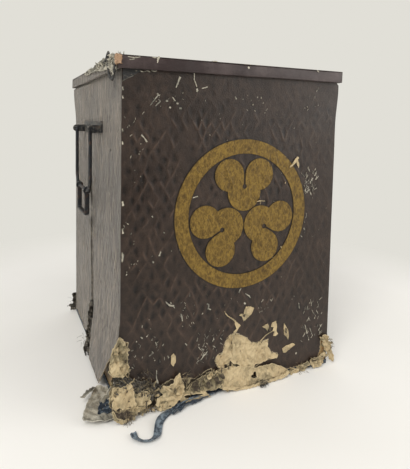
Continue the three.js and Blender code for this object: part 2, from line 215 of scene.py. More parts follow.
class Finish(Nodes):
    """A new material, with a plain shader and patterns that lie fixed on the object."""

    def __init__(self, name, roughness, metallic=0.0):
        self.material = bpy.data.materials.new(name)
        self.material.use_nodes = True
        super().__init__(self.material.node_tree)
        self.shader = self.tree.nodes["Principled BSDF"]
        self.give("Roughness", roughness)
        self.give("Metallic", metallic)
        self.where = self.add_node("ShaderNodeTexCoord").outputs["Object"]

    def give(self, name, value):
        """Fill one of the shader's inputs."""
        self.fill(self.shader.inputs[name], value)

    def stretched(self, scale, turn=(0, 0, 0)):
        """Coordinates turned and stretched, so that a pattern lies along one direction."""
        angles = tuple(math.radians(angle) for angle in turn)
        inputs = {"Vector": self.where, "Scale": scale, "Rotation": angles}
        return self.add_node("ShaderNodeMapping", inputs).outputs["Vector"]

    def cloudy(self, scale, detail=3.0, roughness=0.55, where=None):
        """A noise pattern with blotches about 1/scale metres across."""
        inputs = {"Scale": scale, "Detail": detail, "Roughness": roughness}
        inputs["Vector"] = self.where if where is None else where
        return self.add_node("ShaderNodeTexNoise", inputs).outputs["Fac"]

    def painted(self, name):
        """A value that is painted on the mesh under the given name."""
        return self.add_node("ShaderNodeAttribute", attribute_name=name).outputs["Fac"]

    def bump(self, height, distance, strength):
        """Raise the surface by a pattern whose full height is the given distance."""
        inputs = {"Height": height, "Distance": distance, "Strength": strength}
        self.give("Normal", self.add_node("ShaderNodeBump", inputs).outputs["Normal"])


def lacquer_finish(name, dark, light, colours, gloss, streaks):
    """Lacquer over plaiting: painted shade, highlight and wear on its relief; specks and torn
    edges.
    """
    look = Finish(name, gloss)
    look.give("Specular IOR Level", 0.38)
    relief = look.painted("relief")
    torn = look.painted("torn")
    patches = look.cloudy(12, 4)
    blotches = look.cloudy(95, 4, 0.65)
    grain = look.cloudy(420, 4, 0.7)
    upright = look.cloudy(105, 4, 0.6, where=look.stretched((1, 1, 0.24)))
    # Dark hollows and light ridges: partly rubbed lacquer, partly painted shade and highlight
    tone = look.add(relief, look.remap(patches, 0.3, 0.75, -0.14, 0.16))
    tone = look.add(tone, look.remap(blotches, 0.3, 0.7, -0.16, 0.16))
    tone = look.add(tone, look.remap(grain, 0.3, 0.7, -0.1, 0.12))
    # Upright streaks, strong on the sides: partly streaky dust, partly painted reflection
    tone = look.add(tone, look.remap(upright, 0.32, 0.68, -streaks, streaks))
    colour = look.blend(look.remap(tone, 0.12, 1.1), dark, light)
    warmth = look.remap(look.cloudy(24, 3), 0.42, 0.62, 0, 0.35)
    colour = look.blend(warmth, colour, tuple(0.6 * value for value in dark))
    spots = look.remap(look.cloudy(520, 1.5), 0.735, 0.76)
    specks = look.times(spots, look.remap(look.cloudy(19, 2), 0.52, 0.66))
    colour = look.blend(specks, colour, colours.paper_stained)
    # Painted shadow along the crest's edges
    shade = look.remap(look.painted("shade"), 0.1, 0.9, 0, 0.75)
    colour = look.blend(shade, colour, (0.008, 0.006, 0.005))
    edge = look.add(torn, look.remap(grain, 0.3, 0.7, -0.3, 0.3))
    pale = look.remap(edge, 0.6, 0.8, 0, 0.85)
    colour = look.blend(pale, colour, screen_colour(176, 160, 128))
    look.give("Base Color", colour)
    rough = look.add(look.remap(patches, 0.3, 0.7, gloss - 0.05, gloss + 0.1), specks)
    look.give("Roughness", rough)
    height = look.add(grain, look.times(upright, 4 * streaks))
    look.bump(height, 0.0003 + 0.005 * streaks, 0.8)
    return look.material


def gold_finish(colours):
    """Dull gold lacquer, mottled where the plaiting has rubbed it, with painted shade along its
    rims.
    """
    look = Finish("gold_lacquer", 0.5, 0.1)
    look.give("Specular IOR Level", 0.3)
    relief = look.painted("relief")
    mottle = look.cloudy(230, 3, 0.65, where=look.stretched((1, 1, 0.6), (0, 20, 0)))
    patches = look.cloudy(60, 3)
    wander = look.cloudy(120, 3, 0.6, where=look.stretched((1, 1, 0.55), (0, -15, 0)))
    worms = look.combine("ABSOLUTE", look.remap(wander, 0, 1, -1, 1), 0)
    tone = look.remap(mottle, 0.32, 0.68, 0, 0.65)
    tone = look.add(tone, look.times(relief, 0.35))
    tone = look.add(tone, look.remap(patches, 0.3, 0.7, -0.15, 0.15))
    tone = look.add(tone, look.remap(worms, 0, 0.1, 0.5, 0))
    colour = look.blend(look.remap(tone, 0, 1.15), colours.gold_worn, colours.gold)
    worn = look.remap(look.cloudy(260, 3, 0.7), 0.7, 0.76, 0, 0.7)
    colour = look.blend(worn, colour, colours.lacquer_light)
    # Painted shade along the crest's rims, painted under the name torn
    rim = look.remap(look.painted("torn"), 0.45, 0.95, 0, 0.75)
    colour = look.blend(rim, colour, colours.lacquer_dark)
    look.give("Base Color", colour)
    look.give("Roughness", look.remap(mottle, 0.3, 0.7, 0.42, 0.62))
    look.bump(mottle, 0.0004, 0.6)
    return look.material


def iron_finish(name, colours, dusty):
    """Black forged iron with hammer marks, a little rust and a share of dust."""
    look = Finish(name, 0.5, 0.55)
    hammered = look.cloudy(130, 2)
    pitted = look.cloudy(620, 4, 0.7)
    rusty = look.remap(look.cloudy(70, 4, 0.7), 0.52, 0.68)
    colour = look.blend(look.times(rusty, 0.7), colours.iron, colours.rust)
    film = look.remap(look.cloudy(150, 4, 0.7), 0.62 - 0.3 * dusty, 0.72, 0, 0.85)
    colour = look.blend(film, colour, colours.dust)
    look.give("Base Color", colour)
    look.give("Metallic", look.remap(film, 0, 1, 0.6, 0.1))
    look.give("Roughness", look.remap(pitted, 0.3, 0.7, 0.38, 0.68))
    height = look.add(hammered, look.times(pitted, 0.3))
    look.bump(height, 0.0014, 0.7)
    return look.material


def cloth_finish(name, plain, worn, share):
    """Dyed cloth and leather: fine threads, paler along its folds as fading and painted highlight.
    """
    look = Finish(name, 0.62)
    threads = look.cloudy(700, 3, 0.7, where=look.stretched((1, 1, 4), (20, 30, 0)))
    folds = look.cloudy(170, 4, 0.6, where=look.stretched((1, 1, 1.6), (0, 0, 30)))
    middle = 0.68 - 0.3 * share
    fade_and_highlight = look.remap(folds, middle - 0.09, middle + 0.09, 0, 0.9)
    colour = look.blend(fade_and_highlight, plain, worn)
    colour = look.blend(look.remap(threads, 0.6, 0.75, 0, 0.5), colour, worn)
    look.give("Base Color", colour)
    look.give("Sheen Weight", 0.1)
    height = look.add(threads, folds)
    look.bump(height, 0.0008, 0.8)
    return look.material


def paper_finish(name, plain, stained, dark, light):
    """Torn layers of handmade paper: stains, creases with painted shade and highlight, pale torn
    edges.
    """
    look = Finish(name, 0.85)
    stain = look.painted("stain")
    fold = look.painted("fold")
    edge = look.painted("torn")
    fibres = look.cloudy(480, 4, 0.7, where=look.stretched((1, 1, 0.22), (0, 25, 35)))
    blotches = look.cloudy(60, 4, 0.65)
    fine = look.cloudy(260, 4, 0.7)
    soaked = look.add(stain, look.remap(blotches, 0.32, 0.68, -0.3, 0.34))
    soaked = look.add(soaked, look.remap(fine, 0.3, 0.7, -0.12, 0.14))
    aged = look.remap(look.cloudy(42, 3), 0.36, 0.66, 0, 0.7)
    colour = look.blend(aged, light, tuple(0.72 * value for value in plain))
    colour = look.blend(0.55, plain, colour)
    colour = look.blend(look.remap(soaked, 0.1, 0.6), colour, stained)
    colour = look.blend(look.remap(soaked, 0.66, 0.86), colour, dark)
    # Painted shade in the folds' hollows
    fold_shade = look.add(fold, look.remap(fine, 0.3, 0.7, -0.16, 0.16))
    colour = look.blend(look.remap(fold_shade, 0.2, -0.06, 0, 0.75), colour, dark)
    dry = look.remap(soaked, 0.45, 0.9, 1, 0.1)
    # Painted highlight on the folds' ridges where the paper is dry
    raised = look.times(look.remap(fold, 0.72, 1.05, 0, 0.6), dry)
    colour = look.blend(raised, colour, light)
    torn = look.add(edge, look.remap(fine, 0.3, 0.7, -0.4, 0.3))
    pale = look.times(look.remap(torn, 0.5, 1), look.remap(dry, 0, 1, 0.3, 0.7))
    colour = look.blend(pale, colour, light)
    shade = look.remap(fibres, 0.35, 0.7, 0, 0.4)
    colour = look.blend(shade, colour, stained)
    look.give("Base Color", colour)
    height = look.add(fibres, look.times(blotches, 2))
    look.bump(height, 0.001, 0.9)
    return look.material


def bamboo_finish(colours):
    """Split bamboo: long fibres, a slightly glossy skin, and painted shade where strips dip under.
    """
    look = Finish("woven_bamboo", 0.5)
    relief = look.painted("relief")
    fibres = look.cloudy(500, 3, where=look.stretched((0.15, 0.15, 1), (0, 45, 0)))
    strips = look.cloudy(90, 2)
    dark = screen_colour(96, 74, 46)
    colour = look.blend(look.remap(strips, 0.3, 0.7), colours.bamboo, colours.timber)
    colour = look.blend(look.remap(fibres, 0.4, 0.8, 0, 0.5), colour, dark)
    # Painted shade where a strip dips under its neighbour
    colour = look.blend(look.remap(relief, 0.3, 0.0, 0, 0.85), colour, dark)
    look.give("Base Color", colour)
    look.bump(fibres, 0.0003, 0.5)
    return look.material


def timber_finish(name, along, plain):
    """Planed cedar whose grain runs along the given axis."""
    look = Finish(name, 0.62)
    scale = tuple(0.06 if axis == along else 1 for axis in "xyz")
    grain = look.cloudy(260, 4, 0.6, where=look.stretched(scale))
    rings = look.cloudy(60, 2, where=look.stretched(scale))
    dark = screen_colour(112, 78, 48)
    tone = look.add(look.times(grain, 0.5), rings)
    colour = look.blend(look.remap(tone, 0.55, 1.0), plain, dark)
    look.give("Base Color", colour)
    look.bump(grain, 0.0003, 0.6)
    return look.material


def lining_finish(colours):
    """Aged paper pasted flat, with creases and stains."""
    look = Finish("lining_paper", 0.85)
    stains = look.cloudy(11, 5, 0.6)
    fibres = look.cloudy(420, 3, 0.7, where=look.stretched((1, 1, 0.3), (0, 20, 20)))
    brown = screen_colour(168, 142, 100)
    colour = look.blend(look.remap(stains, 0.48, 0.72, 0, 0.8), colours.lining, brown)
    colour = look.blend(look.remap(fibres, 0.55, 0.75, 0, 0.3), colour, brown)
    look.give("Base Color", colour)
    creases = look.add(look.cloudy(36, 4), fibres)
    look.bump(creases, 0.0008, 0.6)
    return look.material


FINISHES = {}


def make_finishes(colours):
    """Make every material once, by the name that the pieces ask for."""
    # The dusty side finish: paler partly from dust, partly as painted reflection
    for name, gloss, streaks in (("lacquer", 0.38, 0.08), ("lid", 0.34, 0), ("dust", 0.5, 0.42)):
        dark = tuple(getattr(colours, f"{name}_dark"))
        light = tuple(getattr(colours, f"{name}_light"))
        FINISHES[name] = lacquer_finish(f"{name}_finish", dark, light, colours, gloss, streaks)
    film = FINISHES["dust"].node_tree.nodes["Principled BSDF"].inputs
    film["Sheen Weight"].default_value = 0.42
    film["Sheen Roughness"].default_value = 0.35
    film["Sheen Tint"].default_value = (0.82, 0.78, 0.72, 1)
    FINISHES["gold"] = gold_finish(colours)
    FINISHES["iron"] = iron_finish("black_iron", colours, 0.1)
    FINISHES["dusty_iron"] = iron_finish("dusty_iron", colours, 0.6)
    FINISHES["indigo"] = cloth_finish("indigo_binding", colours.indigo, colours.indigo_worn_and_highlight, 0.2)
    # The loose binding is mostly the paler colour: fading and painted highlight
    FINISHES["ribbon"] = cloth_finish("loose_binding", colours.indigo, colours.indigo_worn_and_highlight, 0.62)
    worn = screen_colour(132, 124, 108)
    FINISHES["cloth"] = cloth_finish("dark_cloth", screen_colour(46, 41, 34), worn, 0.4)
    FINISHES["black_cloth"] = cloth_finish("black_cloth", screen_colour(28, 27, 27), worn, 0)
    stained, dark = colours.paper_stained, colours.paper_dark
    light = screen_colour(208, 190, 152)
    FINISHES["paper"] = paper_finish("torn_paper", colours.paper, stained, dark, light)
    grey, light = screen_colour(104, 102, 92), screen_colour(204, 199, 184)
    FINISHES["grey_paper"] = paper_finish("grey_paper", colours.paper_grey, grey, dark, light)
    FINISHES["bamboo"] = bamboo_finish(colours)
    FINISHES["lining"] = lining_finish(colours)
    for along in "xyz":
        FINISHES[f"timber_{along}"] = timber_finish(f"timber_along_{along}", along, colours.timber)
    FINISHES["bare_wood"] = timber_finish("bare_wood", "z", screen_colour(176, 146, 118))


# Shapes


def wall_place(wall):
    """Turns a place across a wall, up it and out from it into a place in the frame."""
    across, origin = WALLS[wall]
    across = Vector(across)
    up = Vector((0, 0, 1))
    turn = Matrix((across, up, across.cross(up))).transposed()
    return Matrix.Translation(origin) @ turn.to_4x4()


def smooth_step(value, low, high):
    """0 below low, 1 above high, and a smooth rise between them."""
    share = min(max((value - low) / (high - low), 0), 1)
    return share * share * (3 - 2 * share)


def plaiting(across, up, seed, sizes):
    """Height of the plaiting under the lacquer: 0 in the hollow of a diamond and 1 on its edge."""
    spot = Vector((across * 30, up * 30, seed))
    over, rise = across / sizes.plait_width, up / sizes.plait_height
    rows = (
        over + rise + 0.36 * noise.noise(spot),
        over - rise + 0.36 * noise.noise(spot + Vector((7, 3, 0))),
    )
    cells = tuple(math.floor(row) for row in rows)
    parts = tuple(row - cell for row, cell in zip(rows, cells))
    chance = noise.cell_vector(Vector((cells[0] + 0.5, cells[1] + 0.5, seed + 0.5)))
    inner = (parts[0] - 0.4 - 0.2 * chance.x) ** 2 + (parts[1] - 0.4 - 0.2 * chance.y) ** 2
    height = 0.5 - (0.1 + 0.4 * chance.z) * math.exp(-inner / 0.07)
    height += 0.2 * (chance.x - 0.5) * (2 * parts[0] - 1)
    width = 1 / math.hypot(1 / sizes.plait_width, 1 / sizes.plait_height)
    for side in (0, 1):
        line = [cells[0] + 0.5, cells[1] + 0.5, seed + 7.5 * side + 1]
        line[side] = round(rows[side]) + 0.5
        strength = max(0, noise.cell(Vector(line)) + 0.05)
        gap = min(parts[side], 1 - parts[side]) * width
        taper = math.sqrt(math.sin(math.pi * parts[1 - side]))
        height += 0.7 * strength * taper * math.exp(-((gap / 0.0012) ** 2))
    return min(max(height, 0), 1.4)


# Where the drop loops have knocked a dent in the side walls: height, spread and depth
KNOCK_HEIGHT, KNOCK_SPREAD, KNOCK_DEPTH = 0.295, 0.03, 0.0012


def half_span(wall):
    """Half of a wall's length, from its middle to its corner."""
    return HALF_DEPTH if wall in SIDES else HALF_WIDTH


def hill(value, middle, spread):
    """1 at the middle, falling away smoothly on both sides of it."""
    return math.exp(-(((value - middle) / spread) ** 2))


def wall_surface(across, up, wall, seed, sizes, strength=1):
    """How far a wall's lacquer stands out at a place, and its painted relief from 0 to 1."""
    half = half_span(wall)
    border = 0.35 + 0.65 * smooth_step(half - abs(across), 0.006, 0.02)
    below_lid = 0.3 + 0.7 * smooth_step(RIM - up, 0.03, 0.1)
    spot = Vector((across, up, seed * 0.1))
    patch = 0.85 + 0.6 * noise.noise(spot * 8)
    strength *= min(max(border * below_lid * patch, 0.05), 1.2)
    if seed == 1:
        strength *= 1 - 0.5 * smooth_step(across, 0.08, 0.15)
    height = plaiting(across, up, seed, sizes)
    wave = noise.noise(spot * 9)
    dent = noise.noise(spot * 48 + Vector((3, 0, 0)))
    out = sizes.relief * strength * (height - 0.45)
    out += sizes.waviness * (0.5 * wave + 0.3 * dent)
    if wall in SIDES:
        knocked = hill(up, KNOCK_HEIGHT, KNOCK_SPREAD)
        out -= KNOCK_DEPTH * knocked * (1 - smooth_step(abs(across), 0.046, 0.066))
    return out, 0.42 + (height - 0.42) * strength


def left_wall_shade(height):
    """Painted shade: how much darker the left wall is painted at a height, round and below its
    handle.
    """
    return 0.26 * hill(height, 0.3, 0.11)


def ragged(points, step, depth, seed):
    """Points along a line given in mm, a step apart and pushed sideways at random, in metres."""
    chance = random.Random(seed)
    line = []
    for (ax, ay), (bx, by) in zip(points, points[1:]):
        length = math.hypot(bx - ax, by - ay)
        count = max(1, round(length / step))
        for place in range(count):
            share = place / count
            push = chance.uniform(-depth, depth) * (1 if place else 0.5)
            x = ax + (bx - ax) * share - (by - ay) / length * push
            y = ay + (by - ay) * share + (bx - ax) / length * push
            line.append((x * MM, y * MM))
    line.append((points[-1][0] * MM, points[-1][1] * MM))
    return line


def ragged_loop(points, step=3.5, depth=1.1, seed=1):
    """A closed ragged outline, in metres, round points given in mm."""
    return ragged([*points, points[0]], step, depth, seed)[:-1]


def inside(places, loop):
    """Which places lie inside a closed loop, by counting the edges to the right of each."""
    x, y = places[:, 0], places[:, 1]
    found = np.zeros(len(places), bool)
    for (ax, ay), (bx, by) in zip(loop, [*loop[1:], loop[0]]):
        if ay != by:
            crosses = (ay > y) != (by > y)
            found ^= crosses & (x < ax + (y - ay) * (bx - ax) / (by - ay))
    return found


def nearest(places, lines):
    """The nearest point of several lines to each place, and its distance."""
    starts = np.vstack([np.array(line[:-1]) for line in lines])
    ends = np.vstack([np.array(line[1:]) for line in lines])
    run = ends - starts
    length = (run**2).sum(1) + 1e-12
    points = np.empty((len(places), 2))
    gaps = np.empty(len(places))
    for first in range(0, len(places), 2000):
        part = places[first : first + 2000]
        share = ((part[:, None] - starts) * run).sum(2) / length
        found = starts + np.clip(share, 0, 1)[..., None] * run
        gap = ((part[:, None] - found) ** 2).sum(2)
        pick = gap.argmin(1)
        rows = np.arange(len(part))
        points[first : first + 2000] = found[rows, pick]
        gaps[first : first + 2000] = np.sqrt(gap[rows, pick])
    return points, gaps


def cut_sheet(outline, holes, spacing):
    """A flat sheet across X and up Y with the given outline and holes, as a fine grid."""
    corners = np.array(outline)
    low, high = corners.min(0), corners.max(0)
    size = high - low
    columns, rows = (max(2, round(float(side) / spacing)) for side in size)
    sheet = bmesh.new()
    bmesh.ops.create_grid(sheet, x_segments=columns, y_segments=rows, size=0.5)
    bmesh.ops.scale(sheet, vec=(size[0], size[1], 1), verts=sheet.verts)
    bmesh.ops.translate(sheet, vec=(*((low + high) / 2), 0), verts=sheet.verts)
    faces = list(sheet.faces)
    middles = np.array([face.calc_center_median()[:2] for face in faces])
    kept = inside(middles, outline)
    for hole in holes:
        kept &= ~inside(middles, hole)
    cut = [face for face, keep in zip(faces, kept) if not keep]
    bmesh.ops.delete(sheet, geom=cut, context="FACES")
    loops = [[*loop, loop[0]] for loop in (outline, *holes)]
    rim = [vert for vert in sheet.verts if vert.is_boundary]
    places = np.array([vert.co[:2] for vert in rim])
    points, _ = nearest(places, loops)
    for vert, (x, y) in zip(rim, points):
        vert.co.x = x
        vert.co.y = y
    return sheet


def paint(sheet, **layers):
    """Paint values on the vertices, under the names that the materials read."""
    for name, values in layers.items():
        layer = sheet.verts.layers.float.new(name)
        for vert, value in zip(sheet.verts, values):
            vert[layer] = value


def near_edge(sheet, lines, reach):
    """1 on the given lines, fading to 0 at reach away from them, for each vertex."""
    places = np.array([vert.co[:2] for vert in sheet.verts])
    _, gaps = nearest(places, lines)
    return np.clip(1 - gaps / reach, 0, 1)


def close_back(sheet, level):
    """Close a sheet with a flat back at the given level."""
    rim = [edge for edge in sheet.edges if edge.is_boundary]
    made = bmesh.ops.extrude_edge_only(sheet, edges=rim)["geom"]
    for part in made:
        if isinstance(part, bmesh.types.BMVert):
            part.co.z = level
    back = [edge for edge in sheet.edges if edge.is_boundary]
    bmesh.ops.triangle_fill(sheet, edges=back, use_beauty=True)
    bmesh.ops.recalc_face_normals(sheet, faces=sheet.faces)


def thicken(sheet, thickness):
    """Give a crumpled sheet its thickness, behind its outer face."""
    bmesh.ops.recalc_face_normals(sheet, faces=sheet.faces)
    bmesh.ops.solidify(sheet, geom=sheet.faces[:], thickness=thickness)
    bmesh.ops.recalc_face_normals(sheet, faces=sheet.faces)


def crumpled(spot, size):
    """A crumple of about the given size: its height from -1 to 1, in facets between folds."""
    height = 0.22 * noise.noise(spot / (size * 0.35))
    for index, (angle, share) in enumerate(((0.35, 0.45), (1.3, 0.3), (2.4, 0.25))):
        bend = noise.noise(spot / (size * 2) + Vector((9 * index, 0, 0)))
        run = spot.x * math.cos(angle) + spot.y * math.sin(angle)
        row = run / (size * (1.3 - 0.25 * index)) + 1.2 * bend + 271 * spot.z
        height += share * (1 - 4 * abs(row - math.floor(row) - 0.5))
    return height


def block(size, middle):
    """A box of the given size round the given middle."""
    shape = bmesh.new()
    bmesh.ops.create_cube(shape, size=1)
    bmesh.ops.scale(shape, vec=size, verts=shape.verts)
    bmesh.ops.translate(shape, vec=middle, verts=shape.verts)
    return shape


def edges_along(shape, axis, least):
    """The edges that run further than the least length along an axis."""
    return [
        edge
        for edge in shape.edges
        if abs(getattr(edge.verts[0].co, axis) - getattr(edge.verts[1].co, axis)) > least
    ]


def round_edges(shape, edges, width, segments=2, clamp=False):
    """Round the given edges."""
    bmesh.ops.bevel(
        shape,
        geom=edges,
        offset=width,
        segments=segments,
        affect="EDGES",
        profile=0.5,
        material=-1,
        clamp_overlap=clamp,
    )


def start_ring(shape, segments, radius=0.5, cap=True, place=None):
    """The vertices and the edges of a ring that a bar or cord starts from."""
    made = bmesh.ops.create_circle(
        shape, cap_ends=cap, radius=radius, segments=segments, matrix=place or Matrix()
    )["verts"]
    return made, list({edge for vert in made for edge in vert.link_edges})


def draw_ring(shape, edges):
    """Draw a bar's or cord's last ring on: the new ring's vertices and edges."""
    made = bmesh.ops.extrude_edge_only(shape, edges=edges)["geom"]
    ring = [part for part in made if isinstance(part, bmesh.types.BMVert)]
    lines = [part for part in made if isinstance(part, bmesh.types.BMEdge)]
    return ring, [edge for edge in lines if set(edge.verts) <= set(ring)]


def close_end(shape, edges):
    """Cap a bar or cord at its last ring, with its faces pointing outwards."""
    bmesh.ops.holes_fill(shape, edges=edges, sides=0)
    bmesh.ops.recalc_face_normals(shape, faces=shape.faces)


def hang_on_wall(shape, wall):
    """Move a shape from its flat drawing to its wall."""
    bmesh.ops.transform(shape, matrix=wall_place(wall), verts=shape.verts)


def keep_off_floor(shape):
    """Push what would reach into the floor up to just over it."""
    for vert in shape.verts:
        vert.co.z = max(vert.co.z, 0.0003)


def place_piece(name, shape, body, finish, replaces=(), smooth=True):
    """Make an object of a finished bmesh, give it its finish and hang it on its CAD body."""
    mesh = bpy.data.meshes.new(name)
    shape.to_mesh(mesh)
    shape.free()
    piece = bpy.data.objects.new(name, mesh)
    bpy.context.scene.collection.objects.link(piece)
    mesh.materials.append(FINISHES[finish])
    if smooth:
        mesh.shade_smooth()
        mesh.set_sharp_from_angle(angle=math.radians(42))
    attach(piece, body)
    if replaces:
        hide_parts(*replaces)
    return piece


def dress(node, word, shape, body, finish):
    """Place the piece that stands for one CAD node, named after it."""
    return place_piece(f"{node}_{word}", shape, body, finish, [node])


def softened(node, width):
    """A copy of a CAD node's shape with its sharp edges rounded."""
    shape = bmesh.new()
    shape.from_mesh(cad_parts[node].data)
    bmesh.ops.remove_doubles(shape, verts=shape.verts, dist=1e-5)
    flat = math.radians(1)
    bmesh.ops.dissolve_limit(shape, angle_limit=flat, verts=shape.verts, edges=shape.edges)
    sharp = [
        edge
        for edge in shape.edges
        if len(edge.link_faces) == 2 and edge.calc_face_angle() > math.radians(35)
    ]
    round_edges(shape, sharp, width, clamp=True)
    return shape


class Bar:
    """A bar in an upright plane along Y, drawn along straight runs and round bends: round where
    its width across X is its thickness, and a flat strap otherwise."""

    def __init__(self, width, thickness, x, y, z, heading, sides=20):
        self.shape = bmesh.new()
        self.place = Vector((x, y, z))
        self.heading = Vector(heading)
        across = Vector((1, 0, 0))
        turn = Matrix((across, self.heading.cross(across), self.heading)).transposed().to_4x4()
        ring, self.end = start_ring(self.shape, sides)
        power = 1 if width == thickness else 0.5
        for vert in ring:
            x, y = (math.copysign(0.5 * abs(2 * value) ** power, value) for value in vert.co[:2])
            vert.co = Matrix.Translation(self.place) @ turn @ Vector((x * width, y * thickness, 0))

    def run(self, length, steps=1):
        """Draw the bar straight on."""
        for _ in range(steps):
            ring, self.end = draw_ring(self.shape, self.end)
            bmesh.ops.translate(self.shape, vec=self.heading * (length / steps), verts=ring)
        self.place += self.heading * length

    def bend(self, radius, degrees, steps=8):
        """Bend the bar about X, towards +Z from +Y where degrees is positive."""
        angle = math.radians(degrees)
        side = 1 if degrees > 0 else -1
        normal = Matrix.Rotation(math.pi / 2 * side, 3, "X") @ self.heading
        centre = self.place + normal * radius
        made = bmesh.ops.spin(
            self.shape,
            geom=self.end,
            cent=centre,
            axis=(1, 0, 0),
            angle=angle,
            steps=steps,
            use_duplicate=False,
        )["geom_last"]
        self.end = [part for part in made if isinstance(part, bmesh.types.BMEdge)]
        turn = Matrix.Rotation(angle, 3, "X")
        self.heading = turn @ self.heading
        self.place = centre + turn @ (self.place - centre)

    def close(self):
        """Cap the bar's end and return its shape."""
        close_end(self.shape, self.end)
        return self.shape


def roughen(shape, depth, scale, seed):
    """Push each vertex a little at random, as a hammer or wear does."""
    for vert in shape.verts:
        push = noise.noise_vector(vert.co * scale + Vector((seed, 0, 0)))
        vert.co += push * depth


# The largest hole in the front cover, and the paper in it: across and up in mm
MAIN_PATCH = (
    (-12, 96), (1, 98), (8, 93), (23, 85), (33, 74), (52, 71), (68, 74), (67, 61), (75, 48),
    (90, 42), (88, 35), (71, 37), (55, 33), (41, 28), (24, 31), (7, 32), (-11, 32), (-25, 35),
    (-35, 46), (-39, 56), (-35, 64), (-24, 68), (-22, 78), (-17, 89),
)
